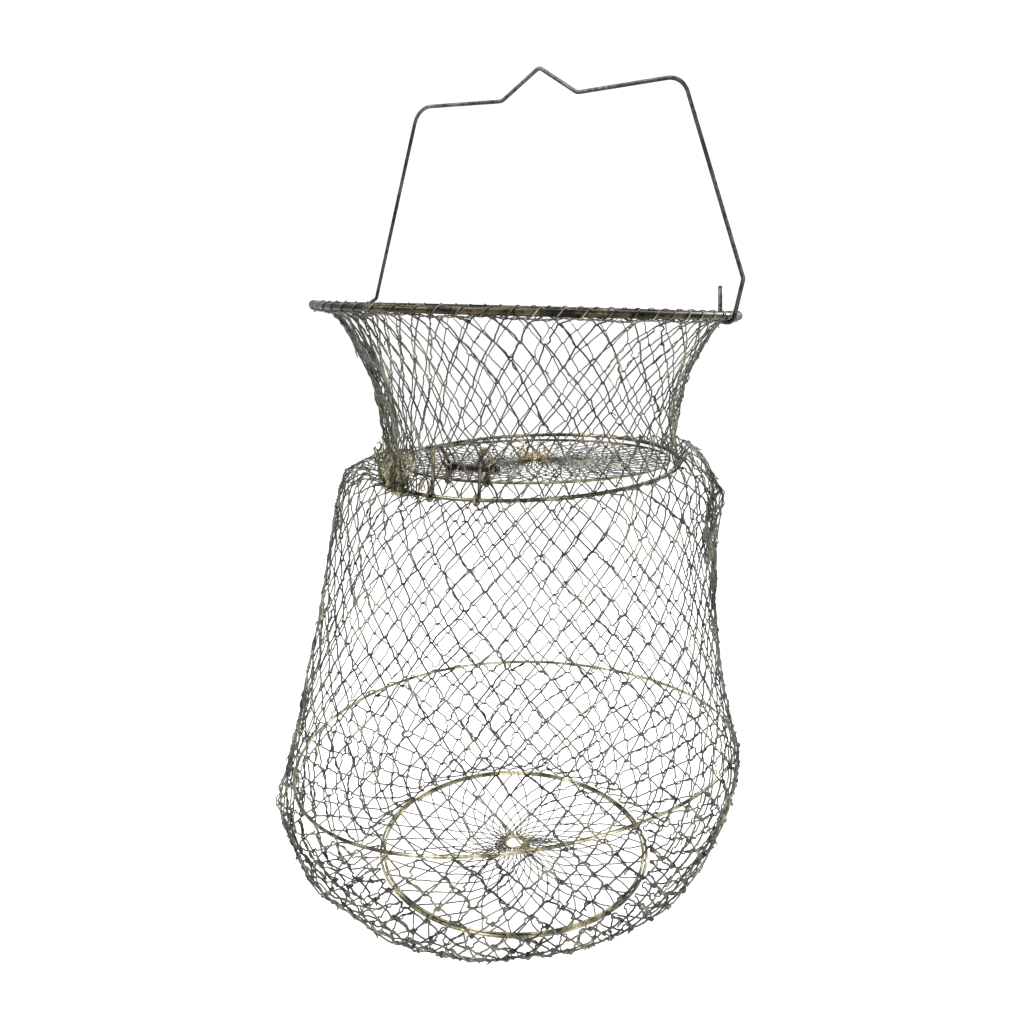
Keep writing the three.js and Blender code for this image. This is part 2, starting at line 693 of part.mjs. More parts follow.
// Skirt netting: bulges out under the base ring, sags, and comes up to the bottom ring
function skirtNet() {
  const baseDown = -BASE_WIRE / 2 - SEAT_GAP - patch;
  const bottomOut = (BOTTOM_WIRE + STRAND_THICKNESS) / 2 + SKIRT_SEAT;
  const surface = (share, row) => {
    const down = rowShare(SKIRT_ROW_SHARES, row);
    const angle = FULL_TURN * share + HINGE_AZIMUTH;
    const top = ringPoint(BASE, angle, 0, baseDown);
    const foot = ringPoint(BOTTOM, angle, bottomOut);
    const quarter = down * RIGHT_ANGLE;
    const at = foot.clone().lerp(top, cosine(quarter));
    at.z = THREE.MathUtils.lerp(top.z, foot.z, sine(quarter));
    const wave = sine(down * HALF_TURN);
    const out = new THREE.Vector3(cosine(angle), sine(angle), 0).multiplyScalar(SKIRT_BULGE * wave);
    at.z -= SKIRT_SAG * wave * down;
    return at.add(out);
  };
  return netting(surface, SKIRT_ROW_SHARES, NET_COLUMNS, 3 / 4);
}

// Bottom ring: one wire wound flat into two turns
function bottomRing() {
  const points = [];
  const steps = BOTTOM_TURNS * RING_STEPS;
  for (let step = 0; step <= steps; step += 1) {
    const turns = (BOTTOM_TURNS * step) / steps;
    points.push(ringLocal(BOTTOM, HALF_TURN + FULL_TURN * turns, -bottomPitch * turns));
  }
  return wire(points, BOTTOM_WIRE, WIRE_SIDES - 1);
}

function bottomPieces() {
  const group = new THREE.Group();
  group.position.copy(BOTTOM.centre);
  group.quaternion.copy(BOTTOM.turn);
  const outer = BOTTOM_RADIUS - BOTTOM_TURNS * bottomPitch - BOTTOM_WIRE / 2 - patch - SEAT_GAP;
  const inner = BOTTOM_TIE_RADIUS + TIE_WIRE / 2 + patch + SEAT_GAP;
  const flat = (angle, radius) => new THREE.Vector3(radius * cosine(angle), radius * sine(angle), 0);
  const centre = ring({ radius: BOTTOM_TIE_RADIUS });
  group.add(mesh('bottom_ring', bottomRing(), brassySteel()));
  group.add(mesh('bottom_net', discNet(outer, inner, BOTTOM_ROW_SHARES, flat), netSteel()));
  const tie = ringWire(centre, TIE_WIRE, DISC_COLUMNS, WIRE_SIDES);
  group.add(mesh('bottom_centre_tie', tie, goldWire()));
  return group;
}

function basePieces() {
  const group = new THREE.Group();
  group.position.copy(BASE.centre);
  group.quaternion.copy(BASE.turn);
  group.add(mesh('base_ring', ringWire(BASE, BASE_WIRE, RIM_STEPS, WIRE_SIDES), brassySteel()));
  return group;
}

// The basket hangs with its rim's centre a little to one side of the bail's plane
function basket() {
  const group = new THREE.Group();
  group.position.set(0, -BAIL_OFFSET, rimZ);
  group.add(rimPieces());
  group.add(mesh('collar_net', collarNet(), netSteel()));
  group.add(neckPieces());
  group.add(mesh('body_net', bodyNet(), netSteel()));
  group.add(basePieces());
  group.add(mesh('skirt_net', skirtNet(), netSteel()));
  group.add(bottomPieces());
  return group;
}

const keepNet = new THREE.Group();
keepNet.add(bail());
keepNet.add(basket());
console.log(`Least gap between curls of the spring: ${springSelfGap().toFixed(2)} mm`);

export default keepNet;
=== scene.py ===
import math
import bpy
import numpy as np
from mathutils import Matrix, Vector


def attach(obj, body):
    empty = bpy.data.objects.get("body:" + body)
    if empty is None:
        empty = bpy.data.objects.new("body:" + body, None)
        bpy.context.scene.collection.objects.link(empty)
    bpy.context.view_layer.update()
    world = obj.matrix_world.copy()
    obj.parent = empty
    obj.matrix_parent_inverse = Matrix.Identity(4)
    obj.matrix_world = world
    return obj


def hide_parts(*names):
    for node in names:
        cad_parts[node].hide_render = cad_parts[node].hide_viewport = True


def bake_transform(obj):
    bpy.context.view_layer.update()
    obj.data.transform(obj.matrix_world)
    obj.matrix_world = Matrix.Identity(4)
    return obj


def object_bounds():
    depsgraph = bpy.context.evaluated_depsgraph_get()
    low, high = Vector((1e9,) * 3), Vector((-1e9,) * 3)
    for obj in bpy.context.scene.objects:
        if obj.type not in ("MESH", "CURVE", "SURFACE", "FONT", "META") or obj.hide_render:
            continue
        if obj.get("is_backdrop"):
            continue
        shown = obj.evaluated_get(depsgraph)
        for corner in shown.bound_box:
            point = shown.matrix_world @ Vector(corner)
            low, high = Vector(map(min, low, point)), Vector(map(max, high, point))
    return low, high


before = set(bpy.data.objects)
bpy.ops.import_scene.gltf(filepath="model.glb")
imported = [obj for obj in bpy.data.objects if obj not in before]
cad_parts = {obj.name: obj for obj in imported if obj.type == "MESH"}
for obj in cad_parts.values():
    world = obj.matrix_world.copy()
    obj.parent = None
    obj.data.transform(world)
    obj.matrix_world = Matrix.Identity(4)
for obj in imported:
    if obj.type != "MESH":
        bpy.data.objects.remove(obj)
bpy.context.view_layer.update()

# Sizes are millimetres, turned into metres where a mesh is made. Angles, azimuths, sweeps and the
# widths of arcs are degrees. Phases, drifts, tilts and swirls are radians.
MM = 0.001
TAU = 2 * math.pi

# Wire diameters
BAIL_WIRE = 2.7
RIM_WIRE = 4.4
NECK_WIRE = 2.6
BASE_WIRE = 2.4
BOTTOM_WIRE = 2.2
FLAP_WIRE = 2.0
LACING_WIRE = 0.8
FINE_LACING_WIRE = 0.6
TIE_WIRE = 0.8
NET_WIRE = 1.05
SKIRT_NET_WIRE = 1.28
FLAP_NET_WIRE = 0.85
BOTTOM_NET_WIRE = 1.1
TANGLE_LOOP_WIRE = NET_WIRE * 0.9
TANGLE_END_WIRE = NET_WIRE * 0.85
TUFT_WIRE = 0.55

# Clearances
SEAT_GAP = 0.3
EYE_GAP = 0.5
LACING_GAP = 0.55

# Sides round a wire, and points along a bend and round a ring
ROD_SIDES = 16
BAIL_SIDES = 14
RING_SIDES = 12
COIL_SIDES = 8
LACING_SIDES = 6
NET_SIDES = 5
BEND_STEPS = 10
RING_STEPS = 240
BOTTOM_STEPS = 480

# Rings, each placed from the rim's centre, with the slopes of its plane along X and Y
RIM_RADIUS = 144.3
NECK_RADIUS = 106
NECK_SHIFT = (4.3, 2.9)
NECK_DROP = 108
NECK_SLOPES = (0.0333, 0.0748)
BASE_RADIUS = 165
BASE_SHIFT = (-0.5, -0.3)
BASE_DROP = 322.7
BASE_SLOPES = (0.108, 0.018)
BASE_WARP = 5
BASE_WARP_ANGLE = 152.8
BOTTOM_RADIUS = 104
BOTTOM_SHIFT = (1.6, 1.1)
BOTTOM_DROP = 410.5
BOTTOM_SLOPES = (-0.018, 0.0455)
BOTTOM_TURNS = 2

# Bail. Pairs are (distance out, height), from a hook's axis or the rim's centre
BAIL_OFFSET = 9
BAIL_RISE = 160
SHOULDER = (105.5, 144)
VALLEY = (30.3, 141.3)
SHOULDER_BEND = 15
VALLEY_BEND = 8
PEAK_BEND = 4
ELBOW_BEND = 4
LEFT_ELBOW = (4.3, 8.9)
LEFT_LOOP_OUT = 29.5
LEFT_LOOP_DROP = 7.5
LEFT_LOOP_WIDTH = 3.2
LEFT_LOOP_BEND_SHARE = 0.45
LEFT_TIP = (10, 2.3)
RIGHT_BEND = (9, 26.6)
RIGHT_TIP = (8, 22)
RIGHT_TIP_TWIST = 6
BAIL_STEP = 6

# Lacings: wraps round a ring, which bunch and spread by waves, each (count round, radians)
RIM_WRAPS = 66
NECK_WRAPS = 70
WRAP_STEPS = 10
WRAP_WAVES = ((3, 0.8), (7, 0.5), (13, 0.3))
WRAP_LIFT = 0.1
WRAP_SLACK = 0.14
WRAP_SLACK_PACE = 0.37
HINGE_GAP_HALF_WIDTH = 14

# The two thin wires twisted together under the rim
BORDER_STEPS = 900
BORDER_INSET = 0.6
BORDER_DROP = 1.1
BORDER_WAVES = ((0.5, 18, 0, 0), (0.3, 41, 0, 1))
BORDER_TWISTS = 75
BORDER_TWIST_RADIUS = 0.5

# Trap door, in the neck ring's plane with the hinge towards -Y
HINGE_AZIMUTH = 6.5
ROD_DIAMETER = 2.2
ROD_OUT = 80
ROD_HEIGHT = 14
ROD_OVERHANG = 2.4
ROD_STEPS = 40
ROD_END_SHARE = 0.8
FLAP_RADIUS = 97
FLAP_SHIFT = 9.5
FLAP_NEAR_HEIGHT = 7
FLAP_FAR_DROP = 4.8
SPRING_WIRE = 0.9
SPRING_CURLS = 16
SPRING_PITCH = 1.55
SPRING_STEPS = 24
SPRING_LEG = 14
SPRING_LEG_STEPS = 8
FIXED_LEG_ANGLE = 118
FLAP_LEG_ANGLE = 198
LUG_WIRE = 2.2
LUG_EYE_SWEEP = 250
LUG_STEP = 1.5
ARM_WIRE = 2.4
ARM_SIDE_GAP = 0.5
ARM_LEAN = 8
ARM_HEIGHT = 29
ARM_CROWN = 8
ARM_BEND = 3
ARM_STEP = 4
ARM_EYE_SWEEP = 290
ARM_FOOT_START = 60
ARM_ROD_EYE_LAG = 30
EYE_STEPS = 20

# Gold ties: turns through a flat net's inner loops, and fine ends that stand out from them
TIE_TURNS = 3
TIE_STEPS = 90
TIE_WANDER = 0.5
TIE_WANDER_PACE = 3
TIE_WANDER_PHASE = 1
TIE_SPREAD = (-0.5, 0.6)
TIE_LIFT = 0.9
TIE_LIFT_PACE = 2.5
TIE_KINK = 0.05
TUFT_STEPS = 6
TUFT_LEAST_SHARE = 0.4
TUFT_ROOT = 1
TUFT_SWIRL = 0.12
TUFT_LIFT_POWER = 1.4
FLAP_TIE_RADIUS = 4.5
BOTTOM_TIE_RADIUS = 7
FLAP_TUFTS = {"count": 110, "reach": 15, "tilt": 1.15}
BOTTOM_TUFTS = {"count": 46, "reach": 13, "tilt": 0.5}

# The tangle of net wire on the neck ring beside the hinge: loops round the ring, and loose ends.
# Its angle is its middle, and its spread is in degrees round the ring.
TANGLE_ANGLE = -114
TANGLE_SPREAD = 8.5
LOOP_COUNT = 46
LOOP_STEPS = 22
LOOP_HALF_WIDTHS = (1, 3.5)
LOOP_TURNS = (0.8, 1.9)
LOOP_REACHES = (1.8, 4.5)
LOOP_INSET = 0.5
LOOP_LIFTS = (0, 0, 7, 13)
END_COUNT = 110
END_STEPS = 6
END_STEEP_SHARE = 0.45
END_STEEP_TILTS = (0.8, 2.3)
END_FLAT_TILTS = (0.1, 0.7)
END_HALF_LENGTHS = (3, 9)
END_LIFTS = (-2, 27)
END_LOWEST = -4
END_OUTS = (-2, 4)
END_BOW = 1.2
DOOR_TOP = 3
BESIDE_DOOR_OUT = 1.8
ABOVE_DOOR_OUT = -2

# Camera, fitted to the photograph, with its pitch and roll in degrees
VIEW_AZIMUTH = 33.64
CAMERA_DISTANCE = 653.9
CAMERA_HEIGHT = 6
CAMERA_SIDE = 0.65
CAMERA_PITCH = 11.26
CAMERA_ROLL = 1.448
FOCAL_PIXELS = 921.6
IMAGE_PIXELS = 1024
OPTICAL_CENTRE = (522.2, 484.6)
SENSOR_WIDTH = 36

# Netting: columns round and rows down each net
COLLAR_MESHES = (48, 10)
BODY_MESHES = (48, 20)
SKIRT_MESHES = (48, 12)
FLAP_MESHES = (40, 10)
BOTTOM_MESHES = (32, 9)

# How each net is knitted: its wire, how far its junctions stray, and its shares of rounded bends,
# of strands with a second wire, of knots and of loose tails. Its wire thins by the taper's share on
# the way down or in.
COLLAR_KNIT = {"wire": NET_WIRE, "loose": 1, "rounded": 0.08, "doubled": 0.12, "knots": 0.2,
               "tails": 0.06, "taper": 0}
BODY_KNIT = {"wire": NET_WIRE, "loose": 1, "rounded": 0.15, "doubled": 0.2, "knots": 0.3,
             "tails": 0.15, "taper": 0}
SKIRT_KNIT = {"wire": SKIRT_NET_WIRE, "loose": 1, "rounded": 0.6, "doubled": 0.4, "knots": 0.5,
              "tails": 0.15, "taper": 0}
FLAP_KNIT = {"wire": FLAP_NET_WIRE, "loose": 0.5, "rounded": 0.5, "doubled": 0.1, "knots": 0.2,
             "tails": 0, "taper": 0.62}
BOTTOM_KNIT = {"wire": BOTTOM_NET_WIRE, "loose": 0.25, "rounded": 0.05, "doubled": 0.06, "knots": 0.03,
               "tails": 0, "taper": 0.3}

# Knitting. Reaches along a net are shares of one mesh, and distances out of it and the sizes of its
# added wires are multiples of its own wire.
WANDER = 0.24
WANDER_WAVES = ((3, 7), (7, -11), (13, 5))
COLUMN_JITTER = 0.028
ROW_JITTER = 0.035
OVERLAP = 0.02
CROSSING = 0.55
WIDE_BENDS = (0.13, 0.2)
NARROW_BENDS = (0.03, 0.06)
BEND_SHARES = (-1, -0.5, 0, 0.5, 1)
STRAND_SHARES = (0.33, 0.67)
BOW = 0.015
BOW_JITTER = 0.018
SECOND_WIRE = {"size": 0.9, "steps": 9, "from": 0.06, "to": 0.94, "turns": 1.2, "side": 0.75, "out": 0.9}
SECOND_WIRE_RADIUS = 120
TAIL = {"size": 0.85, "steps": 7, "curls": (1.2, 2.6), "reaches": (0.12, 0.24), "out": 0.6, "rise": 1.2}
KNOT = {"size": 0.85, "steps": 10, "turns": 1.4, "side": 0.055, "length": 0.12, "middle": 0.4, "out": 1.1}
BAND = {"size": 0.9, "steps": 18, "lengths": (0.3, 0.8), "sway": 0.006, "paces": (15, 60),
        "outs": (-1, 1.5)}

# Extra strands along a net's folds: whole turns round, their spread, from and to which share down,
# and how many
RIGHT_TURN = VIEW_AZIMUTH / 360
LEFT_TURN = (VIEW_AZIMUTH - 180) / 360
COLLAR_BANDS = ((LEFT_TURN + 0.05, 0.03, 0.05, 1, 17), (RIGHT_TURN - 0.035, 0.026, 0.1, 1, 6))
BODY_BANDS = (
    (RIGHT_TURN - 0.025, 0.022, 0.04, 0.6, 22),
    (LEFT_TURN + 0.01, 0.012, 0.02, 0.2, 6),
    (LEFT_TURN + 0.025, 0.02, 0.7, 1, 10),
)
SKIRT_BANDS = ((LEFT_TURN + 0.01, 0.02, 0, 0.4, 8),)

# Collar: at shares of its length, how far out it is from the neck to the rim at the photograph's
# right and left, and how far down. Folds are (height, count round, drift on the way down, phase).
COLLAR_SHARES = (0, 0.1, 0.21, 0.41, 0.62, 0.84, 1)
COLLAR_OUT_RIGHT = (1, 0.68, 0.47, 0.14, -0.02, -0.1, 0)
COLLAR_OUT_LEFT = (1, 0.7, 0.49, 0.15, -0.04, -0.16, 0)
COLLAR_DOWN_SHARES = (0, 0.05, 0.16, 0.38, 0.61, 0.84, 1)
COLLAR_RIM_INSET = 0.3
COLLAR_RIM_DROP = 0.8
COLLAR_NECK_INSET = 0.2
COLLAR_NECK_LIFT = 0.6
COLLAR_GATHER_DRIFT = -0.38
COLLAR_GATHER_ANGLE = VIEW_AZIMUTH - 165
COLLAR_FOLDS = ((1.6, 5, 4, 1), (1.1, 11, -7, 0))
COLLAR_BUNCH_WIDTH = 34
COLLAR_BUNCH_ONSET = 1.4
COLLAR_BUNCH_FOLDS = (4.2, 20, 5)
HINGE_BULGE = 7
HINGE_BULGE_WIDTH = 24

# Body: its radius and its height over the neck ring, at the photograph's right, left and near side
NET_OUT = 1.5
BODY_SHARES = (0, 0.051, 0.119, 0.208, 0.325, 0.537, 0.78, 0.985, 1)
BODY_RADIUS_RIGHT = (107.5, 113, 125, 135.7, 133.6, 140, 151, 164, 166.5)
BODY_RADIUS_LEFT = (107.5, 119.6, 132.3, 138, 142.1, 148, 158.4, 170, 170.5)
BODY_RADIUS_NEAR = (107.5, 110, 115, 123, 131.5, 143, 154.7, 167, 168.5)
BODY_LIFT_RIGHT = (0, 10.7, 0, -18.8, -47.3, -98.3, -157, -205, -208)
BODY_LIFT_LEFT = (0, 5, -3, -25, -55, -109, -171, -222, -226)
BODY_LIFT_NEAR = (0, -7, -19, -36, -60, -108, -166, -213.5, -217)
BODY_FOLDS = ((2.2, 4, 5, 0), (1.6, 9, -8, 2))
BODY_BUNCH_ANGLE = VIEW_AZIMUTH - 8
BODY_BUNCH_WIDTH = 22
BODY_BUNCH_DOWN = 0.2
BODY_BUNCH_LENGTH = 0.14
BODY_BUNCH_FOLDS = (5, 22)

# Skirt: its radius and its drop under the base ring, at the photograph's right and left, and how far
# its near side is drawn in
SKIRT_SHARES = (0, 0.11, 0.245, 0.465, 0.66, 0.855, 1)
SKIRT_RADIUS_RIGHT = (166.5, 168, 166, 155, 140, 121, 105.5)
SKIRT_RADIUS_LEFT = (170.5, 175, 171, 162.5, 147, 124, 105.5)
SKIRT_DROP_RIGHT = (0, 16, 32, 63, 86, 103, 100.5)
SKIRT_DROP_LEFT = (0, 12, 30, 54, 70, 78, 69.5)
SKIRT_FOLDS = ((1.8, 6, 0, 3), (1.2, 13, 5, 0))
SKIRT_NEAR_IN = 6
SKIRT_NEAR_LIFT = 4
SKIRT_NEAR_POWER = 2.5

# Flat nets, which run in to their ties
INWARD_SHRINK = 0.42
FLAP_NET_INSET = 1.2
FLAP_TIE_GAP = 0.3
FLAP_SAG = 3
FLAP_SWIRL = 0.2
BOTTOM_TIE_GAP = 0.5
BOTTOM_SAG = 5
BOTTOM_RIPPLE = 1.5
BOTTOM_RIPPLES = 5
BOTTOM_SWIRL = 0.35

# Plating: where its tones and specks change, how much finer the specks are, and its gloss and grain
TONE_STOPS = (0.36, 0.5, 0.66)
SPECK_STOPS = (0.34, 0.5)
SPECK_TONE = (0.45, 0.42, 0.38)
SPECK_FINENESS = 9
TONE_DETAIL = 3.0
GRAIN_DETAIL = 2.0
GLOSS_SPREAD = (0.6, 1.5)
GRAIN_HEIGHT = 0.1

# Studio, in metres and watts
FLOOR_DROP = 0.12
FLOOR_HALF = 14
FLOOR_TONE = 0.94
FLOOR_ROUGHNESS = 0.9
WORLD_STRENGTH = 1.15
LIGHT_TARGET = (0, 0, -0.35)
LIGHTS = {
    "key": {"place": (-0.9, -1.2, 0.9), "size": 0.9, "power": 26},
    "fill": {"place": (1.4, -0.7, 0.2), "size": 1.0, "power": 14},
    "back": {"place": (0.3, 1.5, 0.6), "size": 0.8, "power": 16},
    "top": {"place": (-0.2, -0.3, 1.3), "size": 0.8, "power": 15},
}


def polar(radius, angle, z):
    """Points at a radius and an angle round Z."""
    return np.stack([radius * np.cos(angle), radius * np.sin(angle), z], -1)


class Ring:
    """A wire ring: its radius, its plane placed from the rim's centre, and a two-lobed warp."""

    def __init__(self, radius, shift=(0, 0), drop=0, slopes=(0, 0), warp=0, warp_angle=0):
        self.radius = radius
        self.warp = warp
        self.warp_angle = math.radians(warp_angle)
        normal = Vector((-slopes[0], -slopes[1], 1)).normalized()
        self.turn = np.array(Vector((0, 0, 1)).rotation_difference(normal).to_matrix())
        self.centre = np.array([*shift, -drop], float) + RIM_CENTRE

    def local(self, angle, out=0.0, lift=0.0):
        angle = np.asarray(angle, float)
        wave = self.warp * np.cos(2 * (angle - self.warp_angle))
        return polar(self.radius + out, angle, lift + wave)

    def place(self, points):
        return points @ self.turn.T + self.centre

    def at(self, angle, out=0.0, lift=0.0):
        return self.place(self.local(angle, out, lift))


# Places and sizes that follow from the values above
RIM_CENTRE = np.array([0, -BAIL_OFFSET, BAIL_WIRE / 2 - BAIL_RISE])
RIM = Ring(RIM_RADIUS)
NECK = Ring(NECK_RADIUS, NECK_SHIFT, NECK_DROP, NECK_SLOPES)
BASE = Ring(BASE_RADIUS, BASE_SHIFT, BASE_DROP, BASE_SLOPES, BASE_WARP, BASE_WARP_ANGLE)
BOTTOM = Ring(BOTTOM_RADIUS, BOTTOM_SHIFT, BOTTOM_DROP, BOTTOM_SLOPES)

HOOK_DROP = (RIM_WIRE + BAIL_WIRE) / 2 + SEAT_GAP
HOOK_X = math.sqrt(RIM.radius ** 2 - BAIL_OFFSET ** 2)
HINGE_ANGLE = math.radians(HINGE_AZIMUTH - 90)
SPRING_RADIUS = (ROD_DIAMETER + SPRING_WIRE) / 2 + LACING_GAP
SPRING_HALF = SPRING_CURLS * SPRING_PITCH / 2
LUG_X = SPRING_HALF + (SPRING_WIRE + LUG_WIRE) / 2 + SEAT_GAP
ARM_X = LUG_X + (LUG_WIRE + ARM_WIRE) / 2 + ARM_SIDE_GAP
ARM_FOOT_Y = -math.sqrt(NECK.radius ** 2 - ARM_X ** 2)
FLAP_SLOPE = -(FLAP_NEAR_HEIGHT + FLAP_FAR_DROP) / (2 * FLAP_RADIUS)


# Wires as tubes

def unit(vectors):
    return vectors / np.maximum(np.linalg.norm(vectors, axis=-1, keepdims=True), 1e-9)


def path_tangents(points, closed):
    if closed:
        return unit(np.roll(points, -1, 0) - np.roll(points, 1, 0))
    return unit(np.gradient(points, axis=0))


def carried_normals(points, closed):
    """Directions square to a path, carried along it without twisting."""
    tangents = path_tangents(points, closed)
    upright = abs(tangents[0][2]) >= 0.7
    seed = np.array([1.0, 0.0, 0.0]) if upright else np.array([0.0, 0.0, 1.0])
    normal = unit(seed - tangents[0] * (seed @ tangents[0]))
    normals = [normal]
    for tangent in tangents[1:]:
        normal = unit(normal - tangent * (normal @ tangent))
        normals.append(normal)
    normals = np.array(normals)
    if closed:
        arrived = normals[-1] - tangents[0] * (normals[-1] @ tangents[0])
        side = np.cross(tangents[0], normals[0])
        twist = -math.atan2(arrived @ side, arrived @ normals[0])
        angles = (twist * np.arange(len(points)) / len(points))[:, None]
        normals = normals * np.cos(angles) + np.cross(tangents, normals) * np.sin(angles)
    return tangents, normals


class Tubes:
    """Collects round wires as one mesh."""

    def __init__(self):
        self.points = []
        self.faces = []
        self.count = 0

    def add(self, path, diameter, sides, closed=False, facing=None, swell=None):
        """Adds a wire along a path. Facing turns its sides, and swell scales it point by point."""
        path = np.asarray(path, float)
        if facing is None:
            tangents, normals = carried_normals(path, closed)
        else:
            tangents = path_tangents(path, closed)
            normals = unit(facing - tangents * np.sum(facing * tangents, 1, keepdims=True))
        across = np.cross(tangents, normals)
        angles = np.arange(sides) * TAU / sides
        radius = np.full(len(path), diameter / 2) if swell is None else diameter / 2 * swell
        offset = (normals[:, None] * np.cos(angles)[None, :, None]
                  + across[:, None] * np.sin(angles)[None, :, None])
        self.points.append((path[:, None] + offset * radius[:, None, None]).reshape(-1, 3))
        spans = len(path) if closed else len(path) - 1
        near = (np.arange(spans) * sides)[:, None] + np.arange(sides)[None]
        far = (((np.arange(spans) + 1) % len(path)) * sides)[:, None] + np.arange(sides)[None]
        quads = np.stack([near, np.roll(near, -1, 1), np.roll(far, -1, 1), far], -1)
        self.faces.extend((quads.reshape(-1, 4) + self.count).tolist())
        if not closed:
            last = self.count + (len(path) - 1) * sides
            self.faces.append([self.count + k for k in range(sides)][::-1])
            self.faces.append([last + k for k in range(sides)])
        self.count += len(path) * sides

    def build(self, name, material, body, *nodes):
        """Makes the mesh, hangs it on the body's empty unless body is None, and hides the nodes it stands
        for.
        """
        points = np.concatenate(self.points) * MM
        mesh = bpy.data.meshes.new(name)
        mesh.from_pydata(points.tolist(), [], self.faces)
        mesh.validate()
        mesh.shade_smooth()
        mesh.materials.append(material)
        piece = bpy.data.objects.new(name, mesh)
        bpy.context.scene.collection.objects.link(piece)
        if body is not None:
            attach(piece, body)
        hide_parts(*nodes)
        return piece


def wire_piece(name, path, diameter, sides, material, body, node, closed=False, swell=None):
    """A piece that is one wire."""
    tubes = Tubes()
    tubes.add(path, diameter, sides, closed=closed, swell=swell)
    return tubes.build(name, material, body, node)


def bent_path(corners):
    """Path through corners, each (point, bend radius), rounded to that radius."""
    path = [np.array(corners[0][0], float)]
    for (before, _), (at, bend), (after, _) in zip(corners, corners[1:], corners[2:]):
        before, at, after = (np.array(p, float) for p in (before, at, after))
        back = unit(before - at)
        ahead = unit(after - at)
        half = math.acos(np.clip(back @ ahead, -1, 1)) / 2
        centre = at + unit(back + ahead) * bend / math.sin(half)
        start = at + back * bend / math.tan(half) - centre
        end = at + ahead * bend / math.tan(half) - centre
        sweep = math.pi - 2 * half
        side = unit(end - start * (end @ start) / (start @ start)) * np.linalg.norm(start)
        for angle in np.linspace(0, sweep, BEND_STEPS + 1):
            path.append(centre + start * math.cos(angle) + side * math.sin(angle))
    path.append(np.array(corners[-1][0], float))
    return np.array(path)


def finer(path, longest):
    """Path with its long straight spans cut up."""
    pieces = []
    for a, b in zip(path[:-1], path[1:]):
        cuts = max(1, int(np.linalg.norm(b - a) // longest))
        pieces.append(a + (b - a) * (np.arange(cuts) / cuts)[:, None])
    return np.concatenate(pieces + [path[-1:]])


# Materials

def node_material(name):
    material = bpy.data.materials.new(name)
    material.use_nodes = True
    tree = material.node_tree
    return material, tree, tree.nodes["Principled BSDF"]


def noise(tree, scale, detail, coords):
    node = tree.nodes.new("ShaderNodeTexNoise")
    node.inputs["Scale"].default_value = scale
    node.inputs["Detail"].default_value = detail
    tree.links.new(coords.outputs["Object"], node.inputs["Vector"])
    return node


def ramp(tree, source, stops):
    """Colour ramp through stops, each (position, colour)."""
    stops = list(stops)
    node = tree.nodes.new("ShaderNodeValToRGB")
    elements = node.color_ramp.elements
    while len(elements) < len(stops):
        elements.new(0.5)
    for element, (position, colour) in zip(elements, stops):
        element.position = position
        element.color = (*colour, 1)
    tree.links.new(source, node.inputs["Fac"])
    return node


def wire_material(name, dark, main, bright, roughness, patch_scale, grain_scale, bump):
    """Plated wire: three tones in patches, darker specks, and fine grain in its gloss and surface."""
    material, tree, shader = node_material(name)
    coords = tree.nodes.new("ShaderNodeTexCoord")
    patches = noise(tree, patch_scale, TONE_DETAIL, coords)
    colour = ramp(tree, patches.outputs["Fac"], zip(TONE_STOPS, (dark, main, bright)))
    specks = noise(tree, patch_scale * SPECK_FINENESS, GRAIN_DETAIL, coords)
    speck_tone = ramp(tree, specks.outputs["Fac"], zip(SPECK_STOPS, (SPECK_TONE, (1, 1, 1))))
    mix = tree.nodes.new("ShaderNodeMix")
    mix.data_type = "RGBA"
    mix.blend_type = "MULTIPLY"
    mix.inputs["Factor"].default_value = 1.0
    tree.links.new(colour.outputs["Color"], mix.inputs["A"])
    tree.links.new(speck_tone.outputs["Color"], mix.inputs["B"])
    tree.links.new(mix.outputs["Result"], shader.inputs["Base Color"])
    grain = noise(tree, grain_scale, GRAIN_DETAIL, coords)
    gloss = tree.nodes.new("ShaderNodeMapRange")
    gloss.inputs["To Min"].default_value = roughness * GLOSS_SPREAD[0]
    gloss.inputs["To Max"].default_value = roughness * GLOSS_SPREAD[1]
    tree.links.new(grain.outputs["Fac"], gloss.inputs["Value"])
    tree.links.new(gloss.outputs["Result"], shader.inputs["Roughness"])
    relief = tree.nodes.new("ShaderNodeBump")
    relief.inputs["Strength"].default_value = bump
    relief.inputs["Distance"].default_value = GRAIN_HEIGHT * MM
    tree.links.new(grain.outputs["Fac"], relief.inputs["Height"])
    tree.links.new(relief.outputs["Normal"], shader.inputs["Normal"])
    shader.inputs["Metallic"].default_value = 1.0
    return material


BAIL_STEEL = wire_material(
    "bail_wire_steel", dark=(0.03, 0.03, 0.027), main=(0.055, 0.055, 0.05), bright=(0.1, 0.098, 0.085),
    roughness=0.3, patch_scale=40, grain_scale=900, bump=0.2)
DARK_STEEL = wire_material(
    "dark_wire", dark=(0.01, 0.009, 0.006), main=(0.03, 0.026, 0.017), bright=(0.1, 0.085, 0.05),
    roughness=0.32, patch_scale=45, grain_scale=900, bump=0.35)
NET_STEEL = wire_material(
    "net_wire", dark=(0.036, 0.036, 0.033), main=(0.088, 0.088, 0.078), bright=(0.2, 0.193, 0.15),
    roughness=0.4, patch_scale=38, grain_scale=1200, bump=0.25)
AGED_STEEL = wire_material(
    "aged_wire", dark=(0.03, 0.027, 0.018), main=(0.1, 0.09, 0.06), bright=(0.32, 0.29, 0.2),
    roughness=0.3, patch_scale=60, grain_scale=900, bump=0.3)
BRASSY_STEEL = wire_material(
    "brassy_wire", dark=(0.06, 0.055, 0.035), main=(0.24, 0.22, 0.14), bright=(0.6, 0.56, 0.4),
    roughness=0.26, patch_scale=50, grain_scale=900, bump=0.3)
